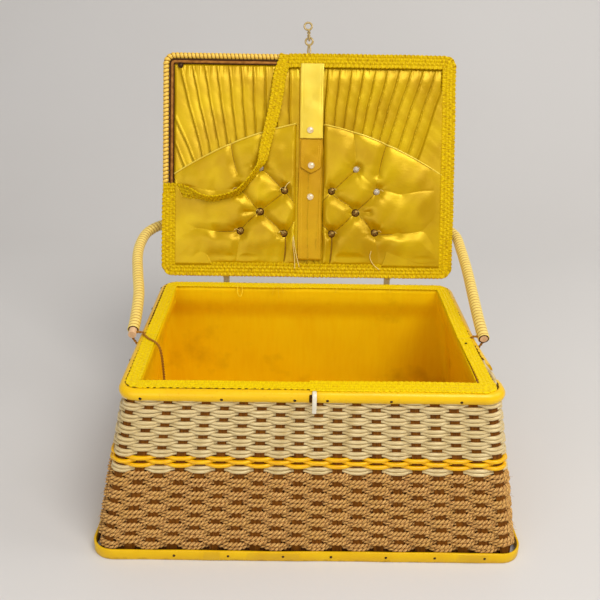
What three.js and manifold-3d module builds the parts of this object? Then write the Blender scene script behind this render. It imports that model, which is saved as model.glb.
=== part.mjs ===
// A wicker sewing basket with a hinged, satin-lined lid and a wrapped bail handle.
// Millimetres, +Z up, origin at the centre of the base on the surface it stands on.
// +X is to the right and -Y is the front. The lid is open and the handle leans back.
import * as THREE from "three";
import { mergeVertices } from "three/addons/utils/BufferGeometryUtils.js";
import Module from "manifold-3d";

const wasm = await Module();
wasm.setup();

// Driving dimensions.
const GAP = 0.3; // clearance between pieces that touch
const RIM = { halfX: 165, halfY: 125, corner: 18, bottom: 157.5, top: 169.2 };
const BASE = { halfX: 195, halfY: 139, corner: 20, bandHeight: 10.5, bandThickness: 2.3 };
const WALL = { halfX: 164.2, halfY: 124.4, corner: 17, flareX: 28.5, flareY: 12.3, bottom: 4.3, top: 157.2 };
const CANE_DEPTH = 6;
const BRAID = { inner: 18.8, bottom: 168.6, top: 170.9, groove: 169.2 };
const STAKE = { count: 68, width: 7.6 };
const HINGE = { y: 124.9, z: 178.9, lean: 20.7, loopX: 92, loopWidth: 9 };
const LID = { halfX: 165, rodRadius: 3.5, length: 251, corner: 13, braidWidth: 16 };
const LID_MIDDLE = LID.length / 2 - LID.rodRadius; // from the hinge axis to the lid's centre
const HANDLE = { pivotX: 172.5, pivotY: -15, pivotZ: 170.65, tilt: 75, wrapRadius: 5.75, coreRadius: 3.7 };
const CORD_RADIUS = 1.1;
const LASHING = { inner: 143.6, outer: 180.8, bottom: 152.5 };
// The loose tail of the left cord: from the handle's end over the rim and down inside.
const TAIL = [
  [-160.5, -17.7, 170.75],
  [-158, -22, 170.9],
  [-154.5, -27, 170.75],
  [-150, -31.5, 170.65],
  [-145.5, -35.5, 170.2],
  [-142, -38.4, 168],
  [-140, -40.4, 163],
  [-138.9, -41.6, 155],
  [-138.3, -42.3, 145],
  [-138, -42.8, 133],
  [-138, -43, 120],
];

// Heights above the middle plane of the lid, towards its lined face.
const BOARD_FACE = 1.3;
const SATIN_FACE = 3.5;
const BRAID_FACE = 6.2;
const POCKET_FACE = 10;

// Finishes.
const finish = (color, roughness, metalness = 0) =>
  new THREE.MeshStandardMaterial({ color, roughness, metalness });
const YELLOW_VINYL = finish(0xf0c810, 0.35);
const YELLOW_BRAID = finish(0xecc40c, 0.7);
const CREAM_VINYL = finish(0xd9cf9c, 0.4);
const WRAP_VINYL = finish(0xf2d980, 0.35);
const WHITE_VINYL = finish(0xf1efe6, 0.4);
const SEAGRASS = finish(0xc9a05c, 0.9);
const STAKE_FIBRE = finish(0x6e3a10, 0.7);
const BOARD = finish(0x8a5a2a, 0.85);
const WOOD = finish(0xd8a27c, 0.7);
const LINING = finish(0xd9a400, 0.75);
const SATIN = finish(0xe8c52a, 0.35);
const TWINE = finish(0x9a6a16, 0.8);
const STEEL = finish(0x4a4238, 0.4, 0.9);
const PEARL = finish(0xe9e2d0, 0.25, 0.3);

// Solids.
function toSolid(geometry) {
  const bare = geometry.clone();
  bare.deleteAttribute("normal");
  bare.deleteAttribute("uv");
  const merged = mergeVertices(bare, 1e-3);
  const vertProperties = merged.getAttribute("position").array;
  const triVerts = new Uint32Array(merged.index.array);
  return new wasm.Manifold(new wasm.Mesh({ numProp: 3, vertProperties, triVerts }));
}

function toGeometry(solid) {
  const made = solid.getMesh();
  const geometry = new THREE.BufferGeometry();
  geometry.setAttribute("position", new THREE.BufferAttribute(made.vertProperties, 3));
  geometry.setIndex(new THREE.BufferAttribute(made.triVerts, 1));
  return geometry;
}

const cut = (geometry, ...tools) =>
  toGeometry(tools.reduce((left, tool) => left.subtract(toSolid(tool)), toSolid(geometry)));

const join = (...pieces) =>
  toGeometry(pieces.slice(1).reduce((whole, piece) => whole.add(toSolid(piece)), toSolid(pieces[0])));

const common = (a, b) => toGeometry(toSolid(a).intersect(toSolid(b)));

function piece(name, geometry, material, group) {
  const mesh = new THREE.Mesh(geometry, material);
  mesh.name = name;
  group.add(mesh);
  return mesh;
}

// A box from its lowest corner to its highest one.
function boxBetween([x0, y0, z0], [x1, y1, z1]) {
  const box = new THREE.BoxGeometry(x1 - x0, y1 - y0, z1 - z0);
  return box.translate((x0 + x1) / 2, (y0 + y1) / 2, (z0 + z1) / 2);
}

// A cylinder along X, Y or Z, centred on a point.
function cylinder(axis, radius, length, [x, y, z], sides = 12) {
  const made = new THREE.CylinderGeometry(radius, radius, length, sides);
  if (axis === "x") made.rotateZ(Math.PI / 2);
  if (axis === "z") made.rotateX(Math.PI / 2);
  return made.translate(x, y, z);
}

function roundedOutline(target, halfX, halfY, corner) {
  target.moveTo(-halfX + corner, -halfY);
  target.absarc(halfX - corner, -halfY + corner, corner, -Math.PI / 2, 0);
  target.absarc(halfX - corner, halfY - corner, corner, 0, Math.PI / 2);
  target.absarc(-halfX + corner, halfY - corner, corner, Math.PI / 2, Math.PI);
  target.absarc(-halfX + corner, -halfY + corner, corner, Math.PI, 1.5 * Math.PI);
  return target;
}

function extrude(shape, depth, z) {
  const made = new THREE.ExtrudeGeometry(shape, { depth, bevelEnabled: false, curveSegments: 4 });
  return made.translate(0, 0, z);
}

// An upright slab or ring with the outline of size, inset by outset and inset, from z0 to z1.
function slab(size, inset, z0, z1) {
  const shape = roundedOutline(new THREE.Shape(), size.halfX - inset, size.halfY - inset, size.corner);
  return extrude(shape, z1 - z0, z0);
}

function ring(size, outset, inset, z0, z1) {
  const corner = (by) => Math.max(size.corner - by, 1.5);
  const shape = roundedOutline(new THREE.Shape(), size.halfX - outset, size.halfY - outset, corner(outset));
  shape.holes.push(roundedOutline(new THREE.Path(), size.halfX - inset, size.halfY - inset, corner(inset)));
  return extrude(shape, z1 - z0, z0);
}

// Widens a straight wall downwards into the basket's flared one.
function flare(geometry) {
  const place = geometry.getAttribute("position");
  for (let i = 0; i < place.count; i++) {
    const down = 1 - place.getZ(i) / WALL.top;
    place.setX(i, place.getX(i) * (1 + (WALL.flareX / WALL.halfX) * down));
    place.setY(i, place.getY(i) * (1 + (WALL.flareY / WALL.halfY) * down));
  }
  return geometry;
}

// A round rod bent into a closed rounded rectangle: a torus with its quarters drawn apart.
function rodFrame(halfX, halfY, corner, radius, sides = 8) {
  const turns = 20;
  const torus = new THREE.TorusGeometry(corner, radius, sides, turns).rotateZ(Math.PI / turns);
  const place = torus.getAttribute("position");
  for (let i = 0; i < place.count; i++) {
    place.setX(i, place.getX(i) + Math.sign(place.getX(i)) * (halfX - corner));
    place.setY(i, place.getY(i) + Math.sign(place.getY(i)) * (halfY - corner));
  }
  return torus;
}

// A section swept along a smooth curve through points.
function sweep(section, points, steps) {
  const extrudePath = new THREE.CatmullRomCurve3(points.map((p) => new THREE.Vector3(...p)));
  return new THREE.ExtrudeGeometry(section, { steps, extrudePath, bevelEnabled: false });
}

// A regular or flattened polygon, as a shape or as a hole.
function polygon(target, radiusX, radiusY, sides) {
  const corners = Array.from({ length: sides }, (_, i) => {
    const turn = ((i + 0.5) / sides) * 2 * Math.PI;
    return new THREE.Vector2(radiusX * Math.cos(turn), radiusY * Math.sin(turn));
  });
  return target.setFromPoints(corners);
}

const basket = new THREE.Group();

// Each lashing cord passes through the wall in a hole just below the rim.
const cordHole = (side) =>
  cylinder("x", CORD_RADIUS + 0.5, 60, [side * RIM.halfX, HANDLE.pivotY, LASHING.bottom]);
const pierced = (geometry) => cut(geometry, cordHole(-1), cordHole(1));

function wallLayer(name, outset, inset, z0, z1, material) {
  piece(name, pierced(flare(ring(WALL, outset, inset, z0, z1))), material, basket);
}

function buildBase() {
  const { bandHeight, bandThickness } = BASE;
  piece("base_board", slab(BASE, bandThickness + GAP, 0, WALL.bottom - GAP), BOARD, basket);
  piece("bottom_band", ring(BASE, 0, bandThickness, 0, bandHeight), YELLOW_VINYL, basket);
}

// A point and direction on the straight-walled outline, at a distance along it from the front left.
function alongWall(distance, inset) {
  const corner = WALL.corner - inset;
  const spanX = 2 * (WALL.halfX - WALL.corner);
  const spanY = 2 * (WALL.halfY - WALL.corner);
  const arc = (Math.PI / 2) * corner;
  let left = distance;
  let turn = 0;
  for (const span of [spanX, spanY, spanX, spanY]) {
    const along = Math.min(left, span) - span / 2;
    const bend = Math.min(Math.max(left - span, 0), arc) / corner;
    if (left <= span + arc) return { along, bend, turn, span };
    left -= span + arc;
    turn += Math.PI / 2;
  }
  return { along: -spanX / 2, bend: 0, turn: 0, span: spanX };
}

function stake(index, inset) {
  const round = 4 * (WALL.halfX + WALL.halfY - 2 * WALL.corner) + 2 * Math.PI * (WALL.corner - inset);
  const { along, bend, turn, span } = alongWall((index / STAKE.count) * round, inset);
  const depth = span > 2 * WALL.halfY ? WALL.halfY : WALL.halfX;
  const height = WALL.top - WALL.bottom;
  const slat = new THREE.BoxGeometry(STAKE.width, 6, height).translate(0, -(WALL.corner - inset), 0);
  slat.rotateZ(bend).translate(along, -(depth - WALL.corner), WALL.bottom + height / 2);
  return slat.rotateZ(turn);
}

// Flat stakes held by a hoop at the top and one at the bottom.
function buildStakes() {
  const [outset, inset] = [3.9, 5.1];
  const hoops = [
    ring(WALL, outset, inset, WALL.bottom, WALL.bottom + 6),
    ring(WALL, outset, inset, WALL.top - 6, WALL.top),
  ];
  const slats = Array.from({ length: STAKE.count }, (_, i) => stake(i, inset));
  const skin = ring(WALL, outset, inset, WALL.bottom, WALL.top);
  const cage = join(common(join(...slats), skin), ...hoops);
  piece("stake_cage", pierced(flare(cage)), STAKE_FIBRE, basket);
}

// Courses of weaving, from the bottom up.
function buildWeave() {
  const depth = 3.6;
  const courses = [
    ["seagrass_weave", 88.6, SEAGRASS],
    ["cream_weave_lower", 94.6, CREAM_VINYL],
    ["yellow_weave_band", 107.3, YELLOW_VINYL],
    ["cream_weave_upper", WALL.top, CREAM_VINYL],
  ];
  let bottom = WALL.bottom;
  for (const [name, top, material] of courses) {
    wallLayer(name, 0, depth, bottom, top, material);
    bottom = top + GAP;
  }
}

function buildLining() {
  const [outset, inset] = [7.7, 8.6];
  const seam = WALL.halfY - 28;
  const sleeve = ring(WALL, outset, inset, WALL.bottom, WALL.top);
  const panels = {
    lining_front: boxBetween([-300, -300, 0], [300, -seam - GAP, 200]),
    lining_back: boxBetween([-300, seam + GAP, 0], [300, 300, 200]),
    lining_left: boxBetween([-300, -seam, 0], [0, seam, 200]),
    lining_right: boxBetween([0, -seam, 0], [300, seam, 200]),
  };
  for (const [name, zone] of Object.entries(panels))
    piece(name, pierced(flare(common(sleeve, zone))), LINING, basket);
  const floor = { halfX: 180.8, halfY: 126, corner: 10 };
  piece("lining_floor", slab(floor, 0, WALL.bottom, WALL.bottom + 1.3), LINING, basket);
}

// A half-round cane round the rim, broken away for a short way on the right near the front.
function buildRim() {
  const radius = (RIM.top - RIM.bottom) / 2;
  const round = rodFrame(RIM.halfX - radius, RIM.halfY - radius, RIM.corner - radius, radius, 10);
  round.translate(0, 0, RIM.bottom + radius);
  const within = { ...RIM, corner: RIM.corner - CANE_DEPTH };
  const inside = slab(within, CANE_DEPTH, RIM.bottom - 5, RIM.top + 5);
  const broken = boxBetween([RIM.halfX - 12, -98, 150], [RIM.halfX + 5, -68, 180]);
  piece("rim_cane", cut(round, inside, broken), YELLOW_VINYL, basket);
  const railTop = BRAID.bottom - GAP;
  piece("rim_rail", ring(RIM, CANE_DEPTH + GAP, 16.5, RIM.bottom, railTop), WOOD, basket);
  const groove = (side) =>
    boxBetween([side * 152 - 15, HANDLE.pivotY - 1.6, BRAID.groove], [side * 152 + 15, HANDLE.pivotY + 1.6, 180]);
  const channel = sweep(polygon(new THREE.Shape(), CORD_RADIUS + 0.45, CORD_RADIUS + 0.45, 8), TAIL, 22);
  const braid = ring(RIM, CANE_DEPTH + GAP, BRAID.inner, BRAID.bottom, BRAID.top);
  piece("rim_braid", cut(braid, groove(-1), groove(1), channel), YELLOW_BRAID, basket);
}

function buildRimNails() {
  [-143.6, -74.7, -12.6, 15.1, 68.5, 126.1].forEach((x, i) => {
    const head = cylinder("y", 1.3, 1, [x, -RIM.halfY - GAP - 0.6, 162], 8);
    piece("rim_nail_" + (i + 1), head, STEEL, basket);
  });
}

// A vinyl strand bent over the cane at the middle of the front.
function buildClosurePeg() {
  const [x, width] = [4, 3.8];
  const bend = new THREE.Shape();
  bend.moveTo(126.6, 151);
  bend.lineTo(125.6, 158);
  bend.absarc(119.6, 163.4, 6.2, 0, Math.PI / 2 - 0.1);
  bend.lineTo(119.2, 171.8);
  bend.absarc(119.6, 163.4, 8.4, Math.PI / 2 - 0.1, 0, true);
  bend.lineTo(128.8, 151);
  const strand = new THREE.ExtrudeGeometry(bend, { depth: width, bevelEnabled: false, curveSegments: 6 });
  strand.rotateX(Math.PI / 2).rotateZ(-Math.PI / 2).translate(x + width / 2, 0, 0);
  piece("closure_peg", strand, WHITE_VINYL, basket);
}

// A vinyl band looped loosely round the lid's rod and tucked down behind the rim.
function buildHingeLoops() {
  const band = new THREE.Shape().absarc(0, 0, 5, 0, 2 * Math.PI);
  band.holes.push(new THREE.Path().absarc(0, 0, 3.8, 0, 2 * Math.PI));
  const options = { depth: HINGE.loopWidth, bevelEnabled: false, curveSegments: 10 };
  const back = RIM.halfY + 0.4;
  for (const [name, side] of [["hinge_loop_left", -1], ["hinge_loop_right", 1]]) {
    const low = side * HINGE.loopX - HINGE.loopWidth / 2;
    const eye = new THREE.ExtrudeGeometry(band, options).rotateY(Math.PI / 2);
    eye.translate(low, HINGE.y, HINGE.z);
    const tongue = boxBetween([low, back, 150], [low + HINGE.loopWidth, back + 1.3, HINGE.z - 4.2]);
    piece(name, join(eye, tongue), WHITE_VINYL, basket);
  }
}

// Cords that lash the handle to the rim. Each is the pin that its end of the handle turns on.
function buildLashings() {
  const [width, height] = [LASHING.outer - LASHING.inner, HANDLE.pivotZ - LASHING.bottom];
  for (const [name, side] of [["tie_cord_left", -1], ["tie_cord_right", 1]]) {
    const loop = rodFrame(width / 2, height / 2, 3, CORD_RADIUS, 6).rotateX(Math.PI / 2);
    const middle = (LASHING.outer + LASHING.inner) / 2;
    loop.translate(side * middle, HANDLE.pivotY, (HANDLE.pivotZ + LASHING.bottom) / 2);
    piece(name, loop, TWINE, basket);
  }
  const section = polygon(new THREE.Shape(), CORD_RADIUS, CORD_RADIUS, 8);
  piece("tie_cord_tail", sweep(section, TAIL, 22), TWINE, basket);
}

// The handle's own frame has its pivots on X and its arch towards +Y.
function buildHandle() {
  const handle = new THREE.Group();
  handle.position.set(0, HANDLE.pivotY, HANDLE.pivotZ);
  handle.rotation.x = THREE.MathUtils.degToRad(90 - HANDLE.tilt);
  basket.add(handle);

  const bow = [
    [-172.5, 0, 0],
    [-173.2, 22, 0],
    [-176.5, 60, 0],
    [-183, 96, 0],
    [-188.5, 130, 0],
    [-189, 156, 0],
    [-184, 178, 0],
    [-168, 194, 0],
    [-140, 201, 0],
    [-80, 204, 0],
    [0, 205, 0],
    [80, 204, 0],
    [136, 201, 0],
    [160, 194, 0],
    [173, 176, 0],
    [177, 150, 0],
    [178, 110, 0],
    [177, 66, 0],
    [174, 24, 0],
    [172.5, 0, 0],
  ];
  const upTo = (first, last) => [[-172.4, first, 0], ...bow.slice(1, -1), [172.4, last, 0]];
  const eye = (side) => cylinder("x", CORD_RADIUS + GAP, 30, [side * HANDLE.pivotX, 0, 0]);
  const core = sweep(polygon(new THREE.Shape(), HANDLE.coreRadius, HANDLE.coreRadius, 8), upTo(-4, -3.5), 46);
  piece("handle_core", cut(core, eye(-1), eye(1)), WOOD, handle);

  const tube = polygon(new THREE.Shape(), HANDLE.wrapRadius, HANDLE.wrapRadius, 8);
  const bore = HANDLE.coreRadius + 1;
  tube.holes.push(polygon(new THREE.Path(), bore, bore, 8));
  piece("handle_wrap", cut(sweep(tube, upTo(4, -5), 46), eye(-1), eye(1)), WRAP_VINYL, handle);
}

// The lid's own frame has the hinge axis on X, +Y up the open lid and +Z out of its lined face.
const lid = new THREE.Group();
lid.position.set(0, HINGE.y, HINGE.z);
lid.rotation.x = THREE.MathUtils.degToRad(90 - HINGE.lean);
basket.add(lid);

// Leaves room in a lid layer for the two hinge loops.
function notched(geometry, z0, z1) {
  const half = HINGE.loopWidth / 2 + 0.7;
  const room = (x) => boxBetween([x - half, -10, z0], [x + half, 5.7, z1]);
  return cut(geometry, room(-HINGE.loopX), room(HINGE.loopX));
}

// A flat layer of the lid, inset from the lid's outline.
function lidSlab(inset, z0, z1) {
  const size = { halfX: LID.halfX, halfY: LID.length / 2, corner: Math.max(LID.corner - inset, 3) };
  return slab(size, inset, z0, z1).translate(0, LID_MIDDLE, 0);
}

function buildLidFrame() {
  const { rodRadius, halfX, length, corner } = LID;
  const rod = rodFrame(halfX - rodRadius, length / 2 - rodRadius, corner - rodRadius, rodRadius);
  piece("lid_rod", rod.translate(0, LID_MIDDLE, 0), WRAP_VINYL, lid);
  const inside = 2 * rodRadius + GAP;
  piece("lid_board", notched(lidSlab(inside, -0.7, BOARD_FACE), -3, 3), BOARD, lid);
  piece("lid_weave", notched(lidSlab(inside, -5, -1), -9, 0), CREAM_VINYL, lid);
  piece("lid_satin", lidSlab(13, BOARD_FACE + GAP, SATIN_FACE), SATIN, lid);
}

// Braid round the lid's lined face. It has come away along the top and down the left side.
const BRAID_ENDS = { top: -18, side: 84 };

function buildLidBraid() {
  const size = { halfX: LID.halfX, halfY: LID.length / 2, corner: LID.corner };
  const border = ring(size, 0, LID.braidWidth, SATIN_FACE + GAP, BRAID_FACE).translate(0, LID_MIDDLE, 0);
  const away = boxBetween([-200, BRAID_ENDS.side, 0], [BRAID_ENDS.top, 300, 20]);
  piece("lid_braid", cut(notched(border, 0, 20), away), YELLOW_BRAID, lid);

  const strip = [
    [-26.5, 246, 5],
    [-27.5, 238, 5],
    [-31, 224, 6.6],
    [-38, 203, 8.6],
    [-46, 182, 12],
    [-51.5, 162, 14.6],
    [-54.5, 143, 16],
    [-53, 129, 17.5],
    [-56, 115, 18],
    [-66, 101, 17.5],
    [-80, 90.5, 15.5],
    [-95, 84.8, 13.6],
    [-110, 82.5, 13],
    [-122, 84.5, 12.9],
    [-132, 88.5, 12.7],
    [-138, 90.8, 10.6],
    [-143, 92.2, 7.2],
    [-147.5, 93, 5.2],
    [-154, 93.5, 5],
    [-163.5, 93.5, 5],
  ];
  const section = polygon(new THREE.Shape(), 1.3, 7.5, 8);
  piece("loose_braid", sweep(section, strip, 34), YELLOW_BRAID, lid);
}

// Tufts of one pocket as [distance from the lid's middle, height above the hinge].
const TUFTS = [
  [54, 119],
  [26.5, 94.5],
  [77.5, 94],
  [54, 70],
  [27, 46],
  [76, 48],
];
const POCKET = { foot: 19.5, side: 136.5, puff: 3, bevel: 4 };

// A padded pocket front: inner edge beside the strap, outer edge at the lid's side, arched top.
function pocket(name, inner, shoulder, crown) {
  const side = Math.sign(inner);
  const { foot, puff, bevel } = POCKET;
  const [near, far] = [inner + side * bevel, side * (POCKET.side - bevel)];
  const outline = new THREE.Shape().moveTo(near, foot + bevel);
  outline.lineTo(near, crown - bevel);
  outline.bezierCurveTo(near + side * 45, crown - 12, far - side * 48, shoulder + 18, far, shoulder - bevel);
  outline.lineTo(far, foot + bevel);
  const depth = POCKET_FACE - SATIN_FACE - GAP - 2 * puff;
  const pad = new THREE.ExtrudeGeometry(outline, {
    depth,
    bevelThickness: puff,
    bevelSize: bevel,
    bevelSegments: 2,
    curveSegments: 7,
  });
  pad.translate(0, 0, SATIN_FACE + GAP + puff);
  const floor = SATIN_FACE + 1.4;
  const wells = TUFTS.map(([x, y]) => cylinder("z", 4, 12, [side * x, y, floor + 6], 10));
  piece(name, cut(pad, ...wells), SATIN, lid);
  TUFTS.forEach(([x, y], i) => {
    const button = cylinder("z", 2.6, 2, [side * x, y, floor + GAP + 1], 8);
    piece(name.replace("pocket", "tuft") + "_" + (i + 1), button, STEEL, lid);
  });
}

function buildPockets() {
  pocket("pocket_left", -17, 104, 169);
  pocket("pocket_right", 18.5, 112, 168);
}

function snapCap(name, x, y, bottom, group) {
  piece(name, cylinder("z", 4.25, 1.7, [x, y, bottom + 0.85], 12), PEARL, group);
}

// A satin strap down the middle. The end of its upper layer is a pointed tab that lifts.
const TAB = { top: 151.5, tip: 114, halfWidth: 12, x: 3, bottom: 5.3, thickness: 1.3 };

function buildStrap() {
  const back = boxBetween([-11, POCKET.foot, SATIN_FACE + GAP], [16, 230, 5]);
  piece("strap_back", back, SATIN, lid);
  const clear = TAB.thickness / 2 + GAP;
  const frontTop = TAB.bottom + TAB.thickness;
  piece("strap_front", boxBetween([-10, TAB.top + clear, TAB.bottom], [16, 230, frontTop]), SATIN, lid);
  snapCap("snap_cap_top", 1.5, 162, frontTop + GAP, lid);
  snapCap("snap_cap_bottom", 2.5, 87.5, TAB.bottom, lid);

  const outline = new THREE.Shape().moveTo(TAB.x - TAB.halfWidth, TAB.top);
  outline.lineTo(TAB.x - TAB.halfWidth, TAB.tip + 7);
  outline.lineTo(TAB.x, TAB.tip);
  outline.lineTo(TAB.x + TAB.halfWidth, TAB.tip + 7);
  outline.lineTo(TAB.x + TAB.halfWidth, TAB.top);
  piece("strap_tab", extrude(outline, TAB.thickness, TAB.bottom), SATIN, lid);
  snapCap("snap_cap_tab", TAB.x, 122.5, frontTop + GAP, lid);
}

function buildTacks() {
  const above = SATIN_FACE + GAP;
  piece("lid_tack_top", cylinder("z", 2, 1, [-145, 232.5, above + 0.5], 8), STEEL, lid);
  piece("lid_tack_side", cylinder("z", 1.8, 1, [-149.5, 105, above + 0.5], 8), STEEL, lid);
}

// The closure: a fixed eye on the lid's front edge and a twisted loop that hangs in it.
const EYE = { x: -1, y: 262, radius: 4, cord: 1.2 };

function buildClosure() {
  const edge = LID.length - LID.rodRadius;
  const stem = cylinder("y", EYE.cord, EYE.y - EYE.radius - edge, [EYE.x, (EYE.y - EYE.radius + edge) / 2, 0], 8);
  const eye = new THREE.TorusGeometry(EYE.radius, EYE.cord, 8, 16).translate(EYE.x, EYE.y, 0);
  piece("closure_eye", join(eye, stem.translate(0, GAP, 0)), CREAM_VINYL, lid);

  const swing = EYE.y + EYE.radius;
  const bight = new THREE.TorusGeometry(2.8, EYE.cord, 8, 12).rotateY(Math.PI / 2).translate(EYE.x, swing, 0);
  const twist = cylinder("y", 1.7, 6.4, [EYE.x - 0.6, swing + 6, 0], 8);
  const ringRadius = 4.2;
  const hoop = new THREE.TorusGeometry(ringRadius, EYE.cord, 8, 16);
  hoop.translate(EYE.x - 1.4, swing + 8.6 + ringRadius, 0);
  piece("closure_loop", join(bight, twist, hoop), CREAM_VINYL, lid);
}

buildBase();
buildStakes();
buildWeave();
wallLayer("wall_board", 5.4, 7.4, WALL.bottom, WALL.top, BOARD);
buildLining();
buildRim();
buildRimNails();
buildClosurePeg();
buildHingeLoops();
buildLashings();
buildHandle();
buildLidFrame();
buildLidBraid();
buildPockets();
buildStrap();
buildTacks();
buildClosure();

export default basket;
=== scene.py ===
"""Looks for the wicker sewing basket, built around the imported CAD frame.

Lengths are millimetres until Shape.make() turns them into metres. The frame is the CAD's own: +Z is up, +X
is to the right, -Y is the front, and the origin is under the middle of the base.
"""

import math

import bpy
import numpy as np
from mathutils import Matrix, Vector


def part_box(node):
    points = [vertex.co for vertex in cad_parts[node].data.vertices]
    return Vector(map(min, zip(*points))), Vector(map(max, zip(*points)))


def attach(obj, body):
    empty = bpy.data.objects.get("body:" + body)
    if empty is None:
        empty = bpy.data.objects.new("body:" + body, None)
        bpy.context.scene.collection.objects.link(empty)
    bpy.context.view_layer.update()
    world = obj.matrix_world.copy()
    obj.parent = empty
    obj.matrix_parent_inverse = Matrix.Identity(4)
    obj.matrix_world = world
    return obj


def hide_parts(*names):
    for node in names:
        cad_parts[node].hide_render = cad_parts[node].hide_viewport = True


MM = 0.001
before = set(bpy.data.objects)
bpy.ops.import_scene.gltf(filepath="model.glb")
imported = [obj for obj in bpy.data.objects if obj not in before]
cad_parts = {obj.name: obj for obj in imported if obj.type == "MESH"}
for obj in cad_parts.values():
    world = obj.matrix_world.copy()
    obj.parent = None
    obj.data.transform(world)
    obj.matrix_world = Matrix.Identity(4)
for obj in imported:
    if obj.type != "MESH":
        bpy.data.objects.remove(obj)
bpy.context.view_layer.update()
rng = np.random.default_rng(11)

# Driving dimensions, as in the CAD model.
WALL_SIZE = (164.2, 124.4, 17.0)  # half width, half depth and corner radius at the top
WALL_BOTTOM, WALL_TOP = 4.3, 157.2
WALL_DATUM = 5.1  # the inset at which distances round the wall are measured
FLARE = (28.5 / 164.2, 12.3 / 124.4)
RIM_SIZE = (165.0, 125.0, 18.0)
RIM_BOTTOM, RIM_TOP = 157.5, 169.2
CANE_RADIUS = (RIM_TOP - RIM_BOTTOM) / 2
BASE_SIZE = (195.0, 139.0, 20.0)
LID_SIZE = (165.0, 125.5, 13.0)
LID_MIDDLE = 122.0  # from the hinge axis to the lid's centre
LID_PLACE, LID_TILT = (0.0, 124.9, 178.9), 69.3
HANDLE_PLACE, HANDLE_TILT = (0.0, -15.0, 170.65), 15.0
UP = np.array([0.0, 0.0, 1.0])

# The stakes stand evenly round the wall. Places round it are counted in stakes.
STAKES = 68
STAKE_INSET = 4.0
FIRST_STAKE = -0.34


# ---------------------------------------------------------------- geometry helpers


def unit(vectors):
    return vectors / np.maximum(np.linalg.norm(vectors, axis=-1, keepdims=True), 1e-9)


def ease(share):
    """A smooth step from 0 to 1."""
    share = np.clip(share, 0, 1)
    return share**2 * (3 - 2 * share)


def angles(count):
    """Angles evenly round a circle."""
    return np.arange(count) / count * 2 * math.pi


def node_box(node):
    """A CAD node's lowest and highest corners in millimetres."""
    return (np.array(corner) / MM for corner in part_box(node))


def turned(points, place, tilt):
    """Points of a frame that is turned about X by tilt degrees and moved to place."""
    points = np.asarray(points, float)
    c, s = math.cos(math.radians(tilt)), math.sin(math.radians(tilt))
    x, y, z = points[..., 0], points[..., 1], points[..., 2]
    return np.stack([x, c * y - s * z, s * y + c * z], -1) + np.asarray(place)


def on_lid(points):
    return turned(points, LID_PLACE, LID_TILT)


def on_handle(points):
    return turned(points, HANDLE_PLACE, HANDLE_TILT)


def lid_direction(x, up, out):
    return on_lid((x, up, out)) - on_lid((0, 0, 0))


LID_OUT = lid_direction(0, 0, 1)


class Shape:
    """Points and faces that become one Blender mesh.

    Its UV map holds (length in mm, share of the way round)."""

    def __init__(self):
        self.points, self.loops, self.sizes, self.uvs = [], [], [], []
        self.count = 0

    def grid(self, points, wrap_rows=False, wrap_columns=True, along=None, twist=None):
        """A sheet of quads over points[row, column]. Twist turns the UV map's second number, row by row."""
        rows, columns = points.shape[:2]
        i = np.arange(rows if wrap_rows else rows - 1)[:, None]
        j = np.arange(columns if wrap_columns else columns - 1)[None, :]
        index = lambda a, b: (a % rows) * columns + b % columns + self.count
        corners = [(i, j), (i + 1, j), (i + 1, j + 1), (i, j + 1)]
        self.loops.append(np.stack([index(a, b) for a, b in corners], -1).reshape(-1))
        if along is None:
            along = arc_lengths(points[:, 0], wrap_rows)
        if twist is None:
            twist = np.zeros(len(along))
        around = np.arange(columns + 1) / columns
        uv = [np.stack(np.broadcast_arrays(along[a], around[b] + twist[a]), -1) for a, b in corners]
        self.uvs.append(np.stack(uv, 2).reshape(-1, 2))
        self.sizes.append(np.full(i.size * j.size, 4))
        self.points.append(points.reshape(-1, 3))
        self.count += rows * columns

    def face(self, indexes, uv=(0.0, 0.5)):
        self.loops.append(np.asarray(indexes))
        self.sizes.append(np.array([len(indexes)]))
        self.uvs.append(np.tile(uv, (len(indexes), 1)))

    def tube(self, points, closed=False, **uv):
        """A closed body from rings of points[ring, place], capped at both ends unless it is closed."""
        first, columns = self.count, points.shape[1]
        self.grid(points, wrap_rows=closed, **uv)
        if not closed:
            self.face(first + np.arange(columns))
            self.face(self.count - 1 - np.arange(columns))

    def slab(self, top, bottom, **uv):
        """A closed body between two sheets of points, top[row, column] above bottom[row, column]."""
        first = self.count
        rows, columns = top.shape[:2]
        self.grid(np.concatenate([top, bottom[:, ::-1]], 1), **uv)
        last = first + (rows - 1) * 2 * columns
        for j in range(columns - 1):
            a, b = j, 2 * columns - 1 - j
            self.face([first + a, first + a + 1, first + b - 1, first + b])
            self.face([last + b, last + b - 1, last + a + 1, last + a])

    def make(self, name, sharp=None):
        mesh = bpy.data.meshes.new(name)
        points, loops = np.concatenate(self.points) * MM, np.concatenate(self.loops)
        sizes = np.concatenate(self.sizes)
        mesh.vertices.add(len(points))
        mesh.vertices.foreach_set("co", points.astype(np.float32).ravel())
        mesh.loops.add(len(loops))
        mesh.loops.foreach_set("vertex_index", loops.astype(np.int32))
        mesh.polygons.add(len(sizes))
        mesh.polygons.foreach_set("loop_start", (np.cumsum(sizes) - sizes).astype(np.int32))
        mesh.update(calc_edges=True)
        layer = mesh.uv_layers.new(name="strand")
        layer.data.foreach_set("uv", np.concatenate(self.uvs).astype(np.float32).ravel())
        mesh.shade_smooth()
        if sharp:
            mesh.set_sharp_from_angle(angle=math.radians(sharp))
        made = bpy.data.objects.new(name, mesh)
        bpy.context.scene.collection.objects.link(made)
        return made


def arc_lengths(path, closed=False):
    """The distance along a path at each point, and once more at the start if the path is closed."""
    ends = np.concatenate([path, path[:1]]) if closed else path
    return np.concatenate([[0], np.cumsum(np.linalg.norm(np.diff(ends, axis=0), axis=1))])


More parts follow.
